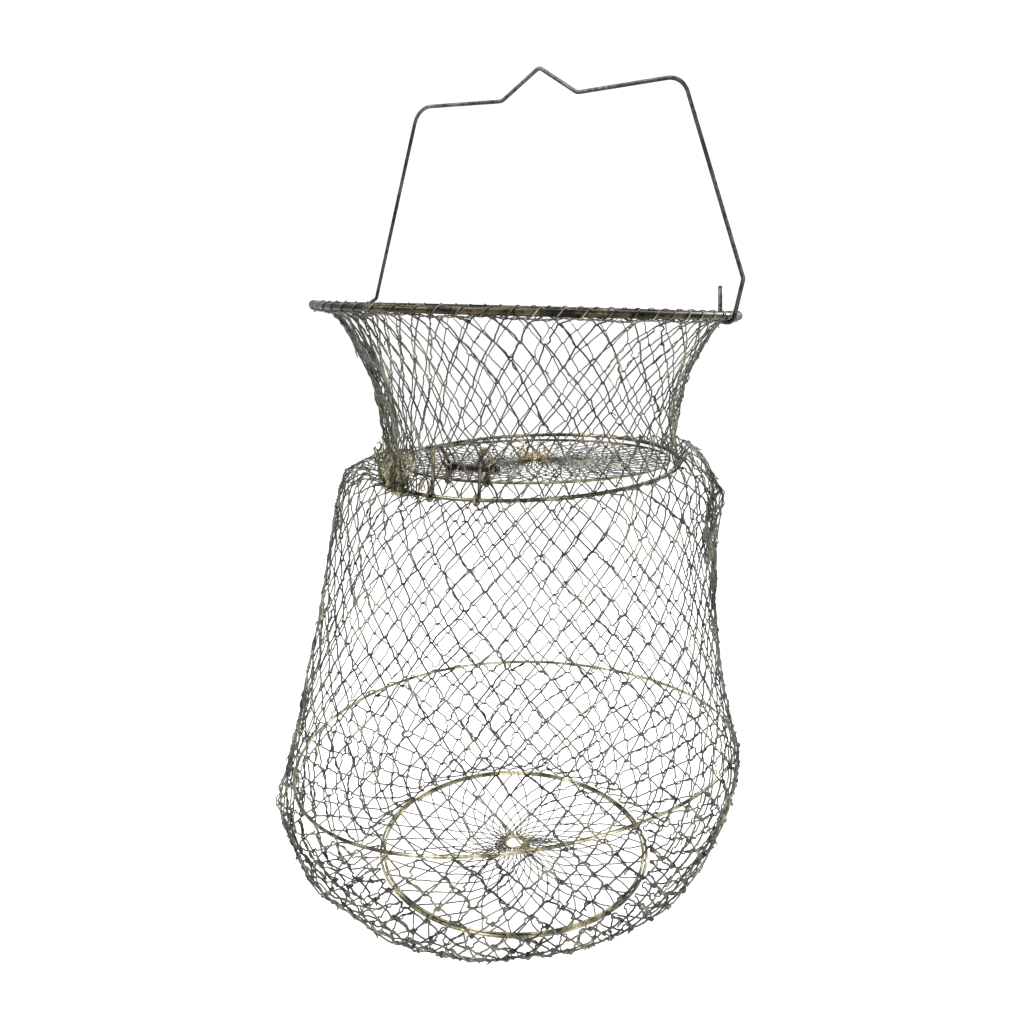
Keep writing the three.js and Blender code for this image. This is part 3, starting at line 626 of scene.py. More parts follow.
OLIVE_WIRE = wire_material(
    "olive_wire", dark=(0.04, 0.041, 0.023), main=(0.115, 0.115, 0.065), bright=(0.45, 0.43, 0.29),
    roughness=0.36, patch_scale=120, grain_scale=1200, bump=0.25)
GOLD_WIRE = wire_material(
    "gold_wire", dark=(0.14, 0.1, 0.045), main=(0.38, 0.29, 0.14), bright=(0.78, 0.68, 0.42),
    roughness=0.26, patch_scale=200, grain_scale=1200, bump=0.2)
SPRING_STEEL = wire_material(
    "spring_wire", dark=(0.02, 0.018, 0.015), main=(0.07, 0.062, 0.05), bright=(0.2, 0.18, 0.145),
    roughness=0.3, patch_scale=90, grain_scale=1500, bump=0.3)


# Net surfaces. Each gives points for a share of a turn round it and a share of the way down or in.

def angle_from(angle, centre):
    """Signed angle from a centre, the short way round."""
    return np.angle(np.exp(1j * (angle - centre)))


def belly(share):
    """0 at both ends and 1 halfway."""
    return 4 * share * (1 - share)


def waves(folds, angle, down):
    """Sum of waves, each (height, count round, drift on the way down, phase)."""
    return sum(height * np.sin(count * angle + drift * down + phase)
               for height, count, drift, phase in folds)


def side_weight(angle):
    """1 towards the photograph's right, 0 towards its left."""
    return (1 + np.cos(angle - math.radians(VIEW_AZIMUTH))) / 2


def follow(shares, right, left, share, weight):
    """Two-sided table value at a share: right and left values mixed by weight."""
    right_value = np.interp(share, shares, right)
    left_value = np.interp(share, shares, left)
    return weight * right_value + (1 - weight) * left_value


def between(upper, lower, share):
    """The centre, in X and Y, at a share of the way from one ring down to another."""
    share = share[..., None]
    return upper.centre[:2] * (1 - share) + lower.centre[:2] * share


def round_points(centre, radius, angle, z):
    x = centre[..., 0] + radius * np.cos(angle)
    y = centre[..., 1] + radius * np.sin(angle)
    return np.stack([x, y, z], -1)


def collar_surface(turn, down):
    gather_angle = math.radians(COLLAR_GATHER_ANGLE)
    angle = turn * TAU + COLLAR_GATHER_DRIFT * np.sin(turn * TAU - gather_angle)
    weight = side_weight(angle)
    top = RIM.at(angle, -RIM_WIRE / 2 - COLLAR_RIM_INSET, -COLLAR_RIM_DROP)
    foot = NECK.at(angle, -COLLAR_NECK_INSET, NECK_WIRE / 2 + COLLAR_NECK_LIFT)
    out = follow(COLLAR_SHARES, COLLAR_OUT_RIGHT, COLLAR_OUT_LEFT, down, weight)[..., None]
    fall = np.interp(down, COLLAR_SHARES, COLLAR_DOWN_SHARES)
    at = foot * (1 - out) + top * out
    at[..., 2] = top[..., 2] * (1 - fall) + foot[..., 2] * fall
    off = angle_from(angle, HINGE_ANGLE) / math.radians(HINGE_BULGE_WIDTH)
    bulge = HINGE_BULGE * np.exp(-off ** 2)
    from_left = angle_from(angle, gather_angle) / math.radians(COLLAR_BUNCH_WIDTH)
    bunch = np.exp(-from_left ** 2) * np.clip(COLLAR_BUNCH_ONSET * down, 0, 1)
    height, count, drift = COLLAR_BUNCH_FOLDS
    folds = waves(COLLAR_FOLDS, angle, down) + height * bunch * np.sin(count * angle + drift * down)
    radial = polar(1, angle, np.zeros_like(angle))
    return at + radial * ((bulge + folds) * belly(fall))[..., None]


def body_surface(turn, down):
    angle = turn * TAU
    weight = side_weight(angle)
    radius = follow(BODY_SHARES, BODY_RADIUS_RIGHT, BODY_RADIUS_LEFT, down, weight)
    lift = follow(BODY_SHARES, BODY_LIFT_RIGHT, BODY_LIFT_LEFT, down, weight)
    side = (2 * weight - 1) ** 2
    radius = side * radius + (1 - side) * np.interp(down, BODY_SHARES, BODY_RADIUS_NEAR)
    lift = side * lift + (1 - side) * np.interp(down, BODY_SHARES, BODY_LIFT_NEAR)
    span = weight * BODY_LIFT_RIGHT[-1] + (1 - weight) * BODY_LIFT_LEFT[-1]
    fall = lift / span
    z = NECK.at(angle, NET_OUT)[..., 2] * (1 - fall) + BASE.at(angle, NET_OUT)[..., 2] * fall
    from_right = angle_from(angle, math.radians(BODY_BUNCH_ANGLE)) / math.radians(BODY_BUNCH_WIDTH)
    bunch = np.exp(-from_right ** 2 - ((down - BODY_BUNCH_DOWN) / BODY_BUNCH_LENGTH) ** 2)
    height, count = BODY_BUNCH_FOLDS
    folds = waves(BODY_FOLDS, angle, down) + height * bunch * np.sin(count * angle)
    return round_points(between(NECK, BASE, fall), radius + folds * belly(down), angle, z)


def skirt_surface(turn, down):
    angle = turn * TAU
    weight = side_weight(angle)
    radius = follow(SKIRT_SHARES, SKIRT_RADIUS_RIGHT, SKIRT_RADIUS_LEFT, down, weight)
    drop = follow(SKIRT_SHARES, SKIRT_DROP_RIGHT, SKIRT_DROP_LEFT, down, weight)
    span = weight * SKIRT_DROP_RIGHT[-1] + (1 - weight) * SKIRT_DROP_LEFT[-1]
    fall = drop / span
    z = BASE.at(angle, NET_OUT)[..., 2] * (1 - fall) + BOTTOM.at(angle, NET_OUT)[..., 2] * fall
    near = np.clip(np.cos(angle - math.radians(VIEW_AZIMUTH - 90)), 0, 1) ** SKIRT_NEAR_POWER
    radius = radius + (waves(SKIRT_FOLDS, angle, down) - SKIRT_NEAR_IN * near) * belly(down)
    z = z + SKIRT_NEAR_LIFT * near * belly(down)
    return round_points(between(BASE, BOTTOM, np.clip(fall, 0, 1)), radius, angle, z)


def inward(outer, inner, down):
    """Radius at a share of the way in, with steps that shorten towards the middle."""
    steady = outer + (inner - outer) * down
    shrinking = outer * (inner / outer) ** down
    return steady + (shrinking - steady) * INWARD_SHRINK


def bottom_surface(turn, down):
    radius = inward(BOTTOM.radius - NET_OUT, BOTTOM_TIE_RADIUS + BOTTOM_TIE_GAP, down)
    ripple = BOTTOM_RIPPLE * np.sin(BOTTOM_RIPPLES * turn * TAU) * belly(down)
    swirl = turn * TAU + BOTTOM_SWIRL * down
    height = ripple - BOTTOM_SAG * np.sin(math.pi * down)
    return BOTTOM.place(polar(radius, swirl, height))


def hinge_place(points):
    """Points in the door's own frame, put where the neck ring carries it."""
    turn = np.array(Matrix.Rotation(math.radians(HINGE_AZIMUTH), 3, "Z"))
    return NECK.place(np.asarray(points, float) @ turn.T)


def flap_height(y):
    return FLAP_NEAR_HEIGHT + FLAP_SLOPE * (y - FLAP_SHIFT + FLAP_RADIUS)


def flap_flat(angle, radius, lift=0.0):
    """Points of the door's flat, which slopes from its hinge down to its far edge."""
    x = radius * np.cos(angle)
    y = FLAP_SHIFT + radius * np.sin(angle)
    return np.stack([x, y, flap_height(y) + lift], -1)


def flap_surface(turn, down):
    radius = inward(FLAP_RADIUS - FLAP_NET_INSET, FLAP_TIE_RADIUS + FLAP_TIE_GAP, down)
    sag = -FLAP_SAG * np.sin(math.pi * down)
    return hinge_place(flap_flat(turn * TAU + FLAP_SWIRL * down, radius, sag))


# Knitted wire netting

class KnittedNet:
    """Rows of zigzag wire on a surface: each bend hooks on a bend of the row above.

    Places on the surface are (whole turns round, share down).
    """

    def __init__(self, surface, meshes, knit, seed):
        self.surface = surface
        self.columns, self.rows = meshes
        self.wire = knit["wire"]
        self.loose = knit["loose"]
        self.rounded = knit["rounded"]
        self.taper = knit["taper"]
        self.random = np.random.default_rng(seed)
        self.phases = self.random.uniform(0, TAU, 2 * len(WANDER_WAVES))
        self.junctions = [self.junction_row(row) for row in range(self.rows + 1)]
        self.tubes = Tubes()

    def stray(self, u, v, first):
        """Slow drift of the junctions, nearly the same for neighbours."""
        return sum(np.sin(count * u * TAU + drift * v + phase)
                   for (count, drift), phase in zip(WANDER_WAVES, self.phases[first:])) / len(WANDER_WAVES)

    def junction_row(self, row):
        """Junctions of one row, which stay in place at the net's two edges."""
        u = (np.arange(self.columns) + (row % 2) / 2) / self.columns
        v = np.full(self.columns, row / self.rows)
        free = self.loose * min(1, row, self.rows - row)
        u_jitter = self.random.normal(0, COLUMN_JITTER, self.columns)
        v_jitter = self.random.normal(0, ROW_JITTER, self.columns)
        du = free * (WANDER * self.stray(u, v, 0) + u_jitter) / self.columns
        dv = free * (WANDER * self.stray(u, v, len(WANDER_WAVES)) + v_jitter) / self.rows
        return np.stack([u + du, v + dv], -1)

    def lay(self, uv, out):
        """Points on the surface, moved out of it, and the directions that the surface faces."""
        step = 1e-3
        u, v = uv[..., 0], uv[..., 1]
        across = self.surface(u + step / self.columns, v) - self.surface(u - step / self.columns, v)
        along = self.surface(u, v + step) - self.surface(u, v - step)
        facing = unit(np.cross(along, across))
        return self.surface(u, v) + facing * np.asarray(out)[..., None], facing

    def ends(self, row, column):
        """Where a strand starts, where it ends in the next row, and where the wire comes back up."""
        top = self.junctions[row]
        low = self.junctions[row + 1]
        following = (column + 1) % self.columns
        start = top[column]
        end = low[column] if row % 2 == 0 else low[following]
        end = end + [1.0 if end[0] < start[0] - 0.5 else 0.0, 0]
        follower = top[following] + [1.0 if following == 0 else 0.0, 0]
        return start, end, follower

    def bend(self, centre, width, down, path, outs):
        """A rounded bend at a junction, open towards where its strands come from."""
        for share in BEND_SHARES:
            sink = down * (OVERLAP - width * share ** 2)
            path.append(centre + [width * share / self.columns, sink / self.rows])
            outs.append(-CROSSING * self.wire * share * down)

    def strand(self, start, end, bow, path, outs):
        for share in STRAND_SHARES:
            sideways = bow * math.sin(math.pi * share) / self.columns
            path.append(start + (end - start) * share + [sideways, 0])
            outs.append(0)

    def zigzag(self, row):
        """One wire that runs all round the net, down to the next row's junctions and back up."""
        path = []
        outs = []
        for column in range(self.columns):
            start, end, follower = self.ends(row, column)
            wide = self.random.uniform(*WIDE_BENDS, 2)
            narrow = self.random.uniform(*NARROW_BENDS, 2)
            widths = np.where(self.random.random(2) < self.rounded, wide, narrow)
            bows = self.random.normal(0, BOW_JITTER, 2)
            self.bend(start, widths[0], -1, path, outs)
            self.strand(start, end, bows[0] + BOW, path, outs)
            self.bend(end, widths[1], 1, path, outs)
            self.strand(end, follower, bows[1] - BOW, path, outs)
        path = np.array(path)
        points, facing = self.lay(path, np.array(outs, float))
        swell = 1 - self.taper * path[:, 1]
        self.tubes.add(points, self.wire, NET_SIDES, closed=True, facing=facing, swell=swell)

    def loose_wire(self, line, out, size):
        points, facing = self.lay(line, self.wire * out)
        self.tubes.add(points, self.wire * size, NET_SIDES, facing=facing)

    def second_wire(self, start, end):
        """A wire that winds about a strand."""
        share = np.linspace(SECOND_WIRE["from"], SECOND_WIRE["to"], SECOND_WIRE["steps"])
        turn = share * TAU * SECOND_WIRE["turns"] + self.random.uniform(0, TAU)
        line = start + (end - start) * share[:, None]
        line[:, 0] += SECOND_WIRE["side"] * self.wire * np.cos(turn) / (TAU * SECOND_WIRE_RADIUS)
        self.loose_wire(line, SECOND_WIRE["out"] * np.sin(turn), SECOND_WIRE["size"])

    def tail(self, start):
        """A cut end that curls away from a junction and out of the net."""
        share = np.linspace(0, 1, TAIL["steps"])
        side = self.random.choice([-1, 1])
        curl = self.random.uniform(*TAIL["curls"])
        reach = self.random.uniform(*TAIL["reaches"])
        sideways = side * reach * np.sin(curl * share) / self.columns
        down = reach * (1 - np.cos(curl * share)) / self.rows
        line = start + np.stack([sideways, down], -1)
        self.loose_wire(line, TAIL["out"] + TAIL["rise"] * share, TAIL["size"])

    def knot(self, start):
        """A short winding round a junction."""
        share = np.linspace(0, 1, KNOT["steps"])
        turn = share * TAU * KNOT["turns"] + self.random.uniform(0, TAU)
        sideways = KNOT["side"] * np.cos(turn) / self.columns
        down = KNOT["length"] * (share - KNOT["middle"]) / self.rows
        line = start + np.stack([sideways, down], -1)
        self.loose_wire(line, KNOT["out"] * np.sin(turn), KNOT["size"])

    def band(self, turn, spread, top, low, count):
        """Extra strands along a fold."""
        for _ in range(count):
            begin = self.random.uniform(top, (top + low) / 2)
            finish = min(low, begin + (low - top) * self.random.uniform(*BAND["lengths"]))
            share = np.linspace(begin, finish, BAND["steps"])
            middle = self.random.normal(turn, spread)
            sway = middle + BAND["sway"] * np.sin(self.random.uniform(*BAND["paces"]) * share)
            outs = self.random.uniform(*BAND["outs"], BAND["steps"])
            self.loose_wire(np.stack([sway, share], -1), outs, BAND["size"])


def knitted_net(name, surface, meshes, knit, seed, body, node, bands=()):
    net = KnittedNet(surface, meshes, knit, seed)
    for row in range(net.rows):
        net.zigzag(row)
        for column in range(net.columns):
            start, end, _ = net.ends(row, column)
            if net.random.random() < knit["doubled"]:
                net.second_wire(start, end)
            if net.random.random() < knit["tails"] and row:
                net.tail(start)
            if net.random.random() < knit["knots"] and row:
                net.knot(start)
    for band in bands:
        net.band(*band)
    return net.tubes.build(name, NET_STEEL, body, node)


def folding_net(name, surface, meshes, knit, seed, bands, node):
    """A net that stretches between the rings of two bodies, hung on no body, with its placing baked into
    its mesh.
    """
    net = knitted_net(name, surface, meshes, knit, seed, None, node, bands)
    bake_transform(net)


# Bail and rings

def bail():
    rim_z = RIM_CENTRE[2]
    level = rim_z - HOOK_DROP
    loop_x = -HOOK_X - LEFT_LOOP_OUT
    loop_bend = LEFT_LOOP_WIDTH * LEFT_LOOP_BEND_SHARE
    corners = [
        ((LEFT_TIP[0] - HOOK_X, 0, level + LEFT_TIP[1]), 0),
        ((loop_x, 0, level - LEFT_LOOP_DROP), loop_bend),
        ((loop_x, 0, level - LEFT_LOOP_DROP + LEFT_LOOP_WIDTH), loop_bend),
        ((-HOOK_X - LEFT_ELBOW[0], 0, level + LEFT_ELBOW[1]), ELBOW_BEND),
        ((-SHOULDER[0], 0, rim_z + SHOULDER[1]), SHOULDER_BEND),
        ((-VALLEY[0], 0, rim_z + VALLEY[1]), VALLEY_BEND),
        ((0, 0, rim_z + BAIL_RISE), PEAK_BEND),
        ((VALLEY[0], 0, rim_z + VALLEY[1]), VALLEY_BEND),
        ((SHOULDER[0], 0, rim_z + SHOULDER[1]), SHOULDER_BEND),
        ((HOOK_X + RIGHT_BEND[0], 0, level + RIGHT_BEND[1]), ELBOW_BEND),
        ((HOOK_X + HOOK_DROP + SEAT_GAP, 0, level), HOOK_DROP),
        ((HOOK_X - HOOK_DROP - SEAT_GAP, 0, level), HOOK_DROP),
        ((HOOK_X - RIGHT_TIP[0], RIGHT_TIP_TWIST, level + RIGHT_TIP[1]), 0),
    ]
    path = finer(bent_path(corners), BAIL_STEP)
    wire_piece("bail_wire", path, BAIL_WIRE, BAIL_SIDES, BAIL_STEEL, "bail", "bail")


def closed_ring(name, path, diameter, material, body, node):
    wire_piece(name, path, diameter, RING_SIDES, material, body, node, closed=True)


def round_angles(steps):
    return np.arange(steps) * TAU / steps


def bottom_coil():
    """The bottom's two turns of one wire, the second inside the first."""
    turns = np.linspace(0, BOTTOM_TURNS, BOTTOM_STEPS)
    path = BOTTOM.at(math.pi + TAU * turns, -(BOTTOM_WIRE + EYE_GAP) * turns)
    wire_piece("bottom_coil", path, BOTTOM_WIRE, RING_SIDES, BRASSY_STEEL, "bottom", "bottom_ring")


# Lacings and loose wires

def winding(ring, core, thread, wraps, seed):
    """Angle round a ring, turn round its wire and reach from it, of a thin wire with uneven wraps."""
    random = np.random.default_rng(seed)
    steps = wraps * WRAP_STEPS
    share = np.arange(steps) / steps
    uneven = sum(size * np.sin(count * share * TAU + random.uniform(0, TAU)) for count, size in WRAP_WAVES)
    turn = TAU * (wraps * share) + uneven
    slack = WRAP_SLACK * (1 + np.sin(turn * WRAP_SLACK_PACE))
    return share * TAU, turn, (core + thread) / 2 + WRAP_LIFT + slack


def rim_winding():
    angle, turn, reach = winding(RIM, RIM_WIRE, LACING_WIRE, RIM_WRAPS, seed=3)
    path = RIM.at(angle, reach * np.cos(turn), reach * np.sin(turn))
    tubes = Tubes()
    tubes.add(path, LACING_WIRE, LACING_SIDES, closed=True)
    rim_border(tubes)
    tubes.build("rim_winding", NET_STEEL, "rim", "rim_lacing")


def rim_border(tubes):
    """Two thin wires twisted together, that run along under the rim and carry the collar."""
    angle = round_angles(BORDER_STEPS)
    drop = RIM_WIRE / 2 + BORDER_DROP + waves(BORDER_WAVES, angle, 0)
    for start in (0, math.pi):
        twist = BORDER_TWISTS * angle + start
        out = BORDER_TWIST_RADIUS * np.cos(twist) - BORDER_INSET
        lift = BORDER_TWIST_RADIUS * np.sin(twist) - drop
        tubes.add(RIM.at(angle, out, lift), LACING_WIRE, NET_SIDES, closed=True)


def neck_winding():
    """Thin wire round the neck ring, from one side of the hinge round to the other."""
    angle, turn, reach = winding(NECK, NECK_WIRE, FINE_LACING_WIRE, NECK_WRAPS, seed=5)
    off = np.abs(angle_from(angle, HINGE_ANGLE))
    keep = np.flatnonzero(off > math.radians(HINGE_GAP_HALF_WIDTH))
    first = np.argmax(np.diff(np.concatenate([keep[-1:] - len(angle), keep])))
    keep = np.roll(keep, -first)
    angle, turn, reach = angle[keep], turn[keep], reach[keep]
    path = NECK.at(angle, reach * np.cos(turn), reach * np.sin(turn))
    wire_piece("neck_winding", path, FINE_LACING_WIRE, LACING_SIDES, NET_STEEL, "neck", "neck_lacing")


def clear_of_door(angle, out, lift):
    """Points beside the neck ring, moved out to where the door's frame doesn't pass."""
    least = np.where(lift < DOOR_TOP, BESIDE_DOOR_OUT, ABOVE_DOOR_OUT)
    return NECK.at(angle, np.maximum(out, least), lift)


def neck_tangle():
    """Loose turns and crossed ends of the net's wire, bunched on the neck ring beside the hinge."""
    random = np.random.default_rng(31)
    tubes = Tubes()
    middle = math.radians(TANGLE_ANGLE)
    spread = math.radians(TANGLE_SPREAD)
    for _ in range(LOOP_COUNT):
        at = random.normal(middle, spread)
        half = math.radians(random.uniform(*LOOP_HALF_WIDTHS))
        turn = np.linspace(0, TAU * random.uniform(*LOOP_TURNS), LOOP_STEPS) + random.uniform(0, TAU)
        angle = at + half * np.linspace(-1, 1, LOOP_STEPS)
        reach = random.uniform(*LOOP_REACHES)
        lift = random.choice(LOOP_LIFTS) + reach * np.sin(turn)
        tubes.add(clear_of_door(angle, reach * np.cos(turn) - LOOP_INSET, lift), TANGLE_LOOP_WIRE,
                  NET_SIDES)
    for _ in range(END_COUNT):
        at = random.normal(middle, spread)
        share = np.linspace(-1, 1, END_STEPS)
        steep = random.random() < END_STEEP_SHARE
        tilt = random.uniform(*(END_STEEP_TILTS if steep else END_FLAT_TILTS))
        half = random.uniform(*END_HALF_LENGTHS)
        angle = at + half * share * math.cos(tilt) / NECK.radius
        lift = random.uniform(*END_LIFTS) + half * share * math.sin(tilt)
        out = random.uniform(*END_OUTS) + END_BOW * share ** 2
        tubes.add(clear_of_door(angle, out, np.maximum(lift, END_LOWEST)), TANGLE_END_WIRE, NET_SIDES)
    tubes.build("neck_tangle", OLIVE_WIRE, "neck")


# Trap door, its hinge and its spring

def eye(x, y, z, radius, start, sweep):
    angles = np.radians(start + sweep * np.arange(EYE_STEPS + 1) / EYE_STEPS)
    flat_x = np.full(EYE_STEPS + 1, x)
    return np.stack([flat_x, y + radius * np.cos(angles), z + radius * np.sin(angles)], -1)


def hinge_arm(side, name, node):
    """A bent wire with one eye round the neck ring and one round the rod."""
    x = side * ARM_X
    foot = eye(x, ARM_FOOT_Y, 0, (NECK_WIRE + ARM_WIRE) / 2 + EYE_GAP, ARM_FOOT_START, ARM_EYE_SWEEP)
    rod_radius = (ROD_DIAMETER + ARM_WIRE) / 2 + SEAT_GAP
    rod_start = FIXED_LEG_ANGLE - ARM_ROD_EYE_LAG
    rod_eye = eye(x, -ROD_OUT, ROD_HEIGHT, rod_radius, rod_start, -ARM_EYE_SWEEP)
    corners = [
        (foot[-1], 0),
        ((x, ARM_FOOT_Y + ARM_LEAN, ARM_HEIGHT), ARM_BEND),
        ((x, ARM_FOOT_Y + ARM_LEAN + ARM_CROWN, ARM_HEIGHT), ARM_BEND),
        (rod_eye[0], 0),
    ]
    path = np.concatenate([foot[:-1], finer(bent_path(corners), ARM_STEP), rod_eye[1:]])
    wire_piece(name, hinge_place(path), ARM_WIRE, RING_SIDES, AGED_STEEL, "neck", node)


def hinge_rod():
    half = ARM_X + ARM_WIRE / 2 + ROD_OVERHANG
    path = [(x, -ROD_OUT, ROD_HEIGHT) for x in np.linspace(-half, half, ROD_STEPS)]
    swell = np.ones(ROD_STEPS)
    swell[[0, -1]] = ROD_END_SHARE
    wire_piece("hinge_pin", hinge_place(path), ROD_DIAMETER, ROD_SIDES, DARK_STEEL, "neck", "hinge_rod",
               swell=swell)


def spring_leg(origin, degrees, shift):
    turn = math.radians(degrees)
    tip = origin + np.array([shift, SPRING_LEG * math.cos(turn), SPRING_LEG * math.sin(turn)])
    return tip + (origin - tip) * (np.arange(SPRING_LEG_STEPS) / SPRING_LEG_STEPS)[:, None]


def flap_spring():
    """A coil on the rod, with one leg against the neck's side and one on the door."""
    start = math.radians(FIXED_LEG_ANGLE - 90)
    sweep = TAU * SPRING_CURLS + math.radians(FLAP_LEG_ANGLE - FIXED_LEG_ANGLE - 180)
    share = np.linspace(0, 1, SPRING_STEPS * SPRING_CURLS)
    angle = start + sweep * share
    coil = np.stack([(2 * share - 1) * SPRING_HALF,
                     SPRING_RADIUS * np.cos(angle) - ROD_OUT,
                     SPRING_RADIUS * np.sin(angle) + ROD_HEIGHT], -1)
    first = spring_leg(coil[0], FIXED_LEG_ANGLE, SPRING_WIRE - LUG_WIRE)
    last = spring_leg(coil[-1], FLAP_LEG_ANGLE, 0)[::-1]
    path = hinge_place(np.concatenate([first, coil, last]))
    piece = wire_piece("torsion_spring", path, SPRING_WIRE, COIL_SIDES, SPRING_STEEL, None, "flap_spring")
    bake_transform(piece)


def flap_lug(side, name, node):
    """An S-shaped wire with one open eye on the rod and one round the door's frame."""
    x = side * LUG_X
    near_y = FLAP_SHIFT - math.sqrt(FLAP_RADIUS ** 2 - LUG_X ** 2)
    near_z = flap_height(near_y)
    rod_radius = (ROD_DIAMETER + LUG_WIRE) / 2 + SEAT_GAP
    ring_radius = (FLAP_WIRE + LUG_WIRE) / 2 + SEAT_GAP
    distance = math.hypot(near_z - ROD_HEIGHT, near_y + ROD_OUT)
    to_ring = math.atan2(near_z - ROD_HEIGHT, near_y + ROD_OUT)
    shank = math.degrees(to_ring + math.asin((rod_radius + ring_radius) / distance))
    rod_eye = eye(x, -ROD_OUT, ROD_HEIGHT, rod_radius, shank - 90 - LUG_EYE_SWEEP, LUG_EYE_SWEEP)
    ring_eye = eye(x, near_y, near_z, ring_radius, shank + 90, -LUG_EYE_SWEEP)
    path = hinge_place(finer(np.concatenate([rod_eye, ring_eye]), LUG_STEP))
    wire_piece(name, path, LUG_WIRE, RING_SIDES, AGED_STEEL, "flap", node)


# Gold ties

def gathered_tie(name, place, radius, tufts, seed, body, node):
    """Uneven turns of bright wire through a flat net's inner loops, with fine ends that stand out."""
    random = np.random.default_rng(seed)
    turn = np.linspace(0, TIE_TURNS * TAU, TIE_STEPS)
    spread = np.linspace(*TIE_SPREAD, TIE_STEPS)
    around = radius + TIE_WANDER * np.sin(TIE_WANDER_PACE * turn + TIE_WANDER_PHASE) + spread
    lift = TIE_LIFT * np.sin(TIE_LIFT_PACE * turn) + random.normal(0, TIE_KINK, TIE_STEPS)
    tubes = Tubes()
    tubes.add(place(polar(around, turn, lift)), TIE_WIRE, COIL_SIDES)
    for _ in range(tufts["count"]):
        side = random.uniform(0, TAU)
        length = random.uniform(TUFT_LEAST_SHARE, 1) * tufts["reach"]
        tilt = random.uniform(-1, 1) * tufts["tilt"]
        share = np.linspace(0, 1, TUFT_STEPS)
        out = radius - TUFT_ROOT + length * share * math.cos(tilt)
        turned = side + random.normal(0, TUFT_SWIRL) * share
        height = length * math.sin(tilt) * share ** TUFT_LIFT_POWER
        tubes.add(place(polar(out, turned, height)), TUFT_WIRE, NET_SIDES)
    tubes.build(name, GOLD_WIRE, body, node)


def flap_tie_place(points):
    moved = points + np.array([0, FLAP_SHIFT, 0])
    moved[:, 2] += flap_height(moved[:, 1])
    return hinge_place(moved)


# Camera, floor and lights

def camera():
    azimuth = math.radians(VIEW_AZIMUTH)
    pitch = math.radians(CAMERA_PITCH)
    roll = math.radians(CAMERA_ROLL)
    away = Vector((-math.sin(azimuth), math.cos(azimuth), 0))
    right = Vector((math.cos(azimuth), math.sin(azimuth), 0))
    up = Vector((0, 0, 1))
    forward = away * math.cos(pitch) - up * math.sin(pitch)
    upward = away * math.sin(pitch) + up * math.cos(pitch)
    across = right * math.cos(roll) + upward * math.sin(roll)
    top = upward * math.cos(roll) - right * math.sin(roll)
    rim = Vector(RIM_CENTRE.tolist())
    place = rim - away * CAMERA_DISTANCE + up * CAMERA_HEIGHT + right * CAMERA_SIDE
    data = bpy.data.cameras.new("camera")
    data.sensor_width = SENSOR_WIDTH
    data.lens = FOCAL_PIXELS / IMAGE_PIXELS * SENSOR_WIDTH
    data.shift_x = (IMAGE_PIXELS / 2 - OPTICAL_CENTRE[0]) / IMAGE_PIXELS
    data.shift_y = (OPTICAL_CENTRE[1] - IMAGE_PIXELS / 2) / IMAGE_PIXELS
    viewer = bpy.data.objects.new("camera", data)
    turn = Matrix((across, top, -forward)).transposed()
    viewer.matrix_world = Matrix.Translation(place * MM) @ turn.to_4x4()
    bpy.context.scene.collection.objects.link(viewer)
    bpy.context.scene.camera = viewer


def area_light(name, place, size, power):
    data = bpy.data.lights.new(name, "AREA")
    data.size = size
    data.energy = power
    lamp = bpy.data.objects.new(name, data)
    lamp.location = place
    lamp.rotation_euler = (Vector(LIGHT_TARGET) - Vector(place)).to_track_quat("-Z", "Y").to_euler()
    bpy.context.scene.collection.objects.link(lamp)


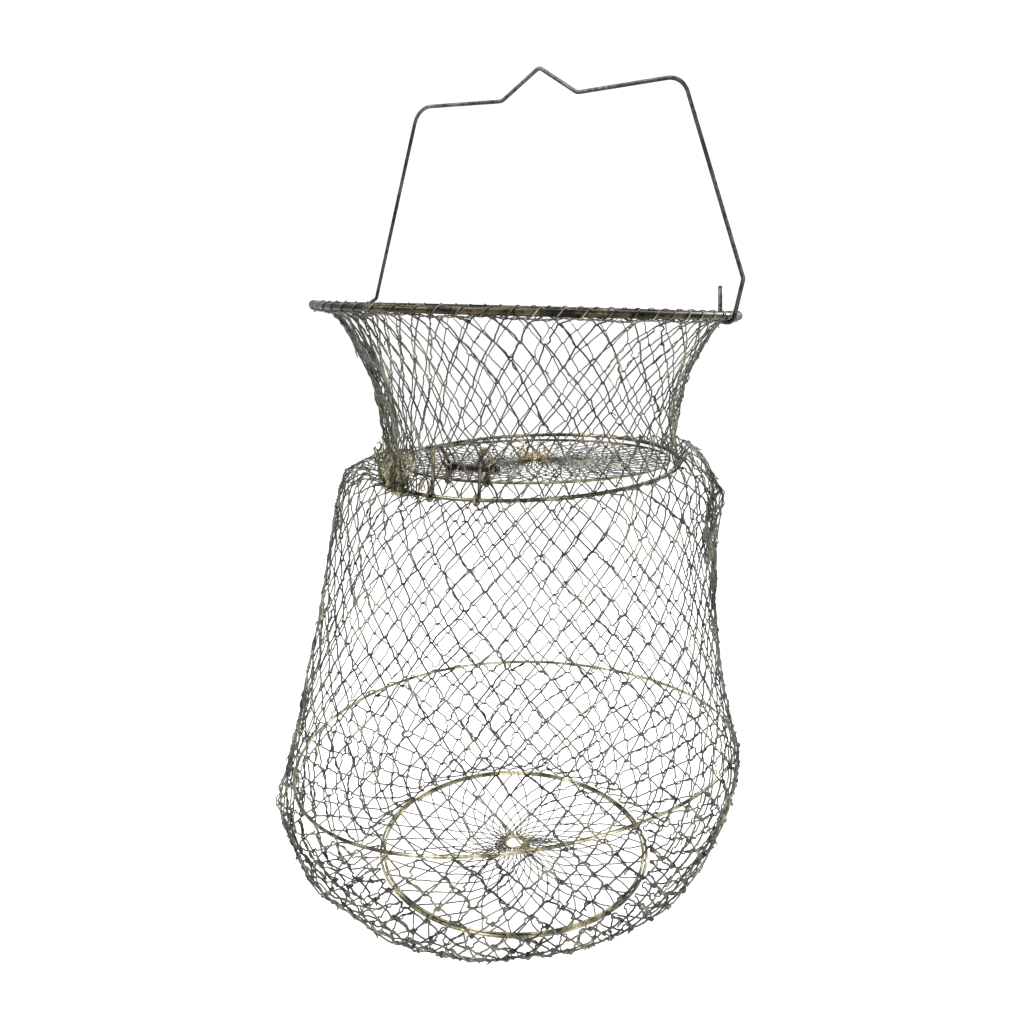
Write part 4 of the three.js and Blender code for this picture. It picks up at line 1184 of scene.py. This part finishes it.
def floor():
    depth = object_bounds()[0][2] - FLOOR_DROP
    corners = [(x * FLOOR_HALF, y * FLOOR_HALF, depth) for x, y in ((-1, -1), (1, -1), (1, 1), (-1, 1))]
    mesh = bpy.data.meshes.new("floor")
    mesh.from_pydata(corners, [], [(0, 1, 2, 3)])
    material, _, shader = node_material("floor")
    shader.inputs["Base Color"].default_value = (FLOOR_TONE, FLOOR_TONE, FLOOR_TONE, 1)
    shader.inputs["Roughness"].default_value = FLOOR_ROUGHNESS
    mesh.materials.append(material)
    ground = bpy.data.objects.new("floor", mesh)
    bpy.context.scene.collection.objects.link(ground)
    ground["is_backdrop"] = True


def studio():
    scene = bpy.context.scene
    scene.view_settings.view_transform = "Standard"
    world = bpy.data.worlds.new("studio")
    world.use_nodes = True
    background = world.node_tree.nodes["Background"]
    background.inputs["Color"].default_value = (1, 1, 1, 1)
    background.inputs["Strength"].default_value = WORLD_STRENGTH
    scene.world = world
    for name, light in LIGHTS.items():
        area_light(name, **light)


camera()

bail()
closed_ring("rim_hoop", RIM.at(round_angles(RING_STEPS)), RIM_WIRE, DARK_STEEL, "rim", "rim_ring")
rim_winding()
closed_ring("neck_hoop", NECK.at(round_angles(RING_STEPS)), NECK_WIRE, AGED_STEEL, "neck", "neck_ring")
neck_winding()
neck_tangle()
closed_ring("base_hoop", BASE.at(round_angles(RING_STEPS)), BASE_WIRE, BRASSY_STEEL, "base", "base_ring")
bottom_coil()

hinge_arm(-1, "hinge_arm_wire_left", "hinge_arm_left")
hinge_arm(1, "hinge_arm_wire_right", "hinge_arm_right")
hinge_rod()
flap_spring()
flap_circle = hinge_place(flap_flat(round_angles(RING_STEPS), FLAP_RADIUS))
closed_ring("flap_frame", flap_circle, FLAP_WIRE, AGED_STEEL, "flap", "flap_ring")
flap_lug(-1, "flap_lug_wire_left", "flap_lug_left")
flap_lug(1, "flap_lug_wire_right", "flap_lug_right")
gathered_tie("flap_gather", flap_tie_place, FLAP_TIE_RADIUS, FLAP_TUFTS, 21, "flap", "flap_centre_tie")
gathered_tie("bottom_gather", BOTTOM.place, BOTTOM_TIE_RADIUS, BOTTOM_TUFTS, 22, "bottom",
             "bottom_centre_tie")

folding_net("collar_mesh", collar_surface, COLLAR_MESHES, COLLAR_KNIT, 11, COLLAR_BANDS, "collar_net")
folding_net("body_mesh", body_surface, BODY_MESHES, BODY_KNIT, 12, BODY_BANDS, "body_net")
folding_net("skirt_mesh", skirt_surface, SKIRT_MESHES, SKIRT_KNIT, 13, SKIRT_BANDS, "skirt_net")
knitted_net("flap_mesh", flap_surface, FLAP_MESHES, FLAP_KNIT, 14, "flap", "flap_net")
knitted_net("bottom_mesh", bottom_surface, BOTTOM_MESHES, BOTTOM_KNIT, 15, "bottom", "bottom_net")

floor()
studio()
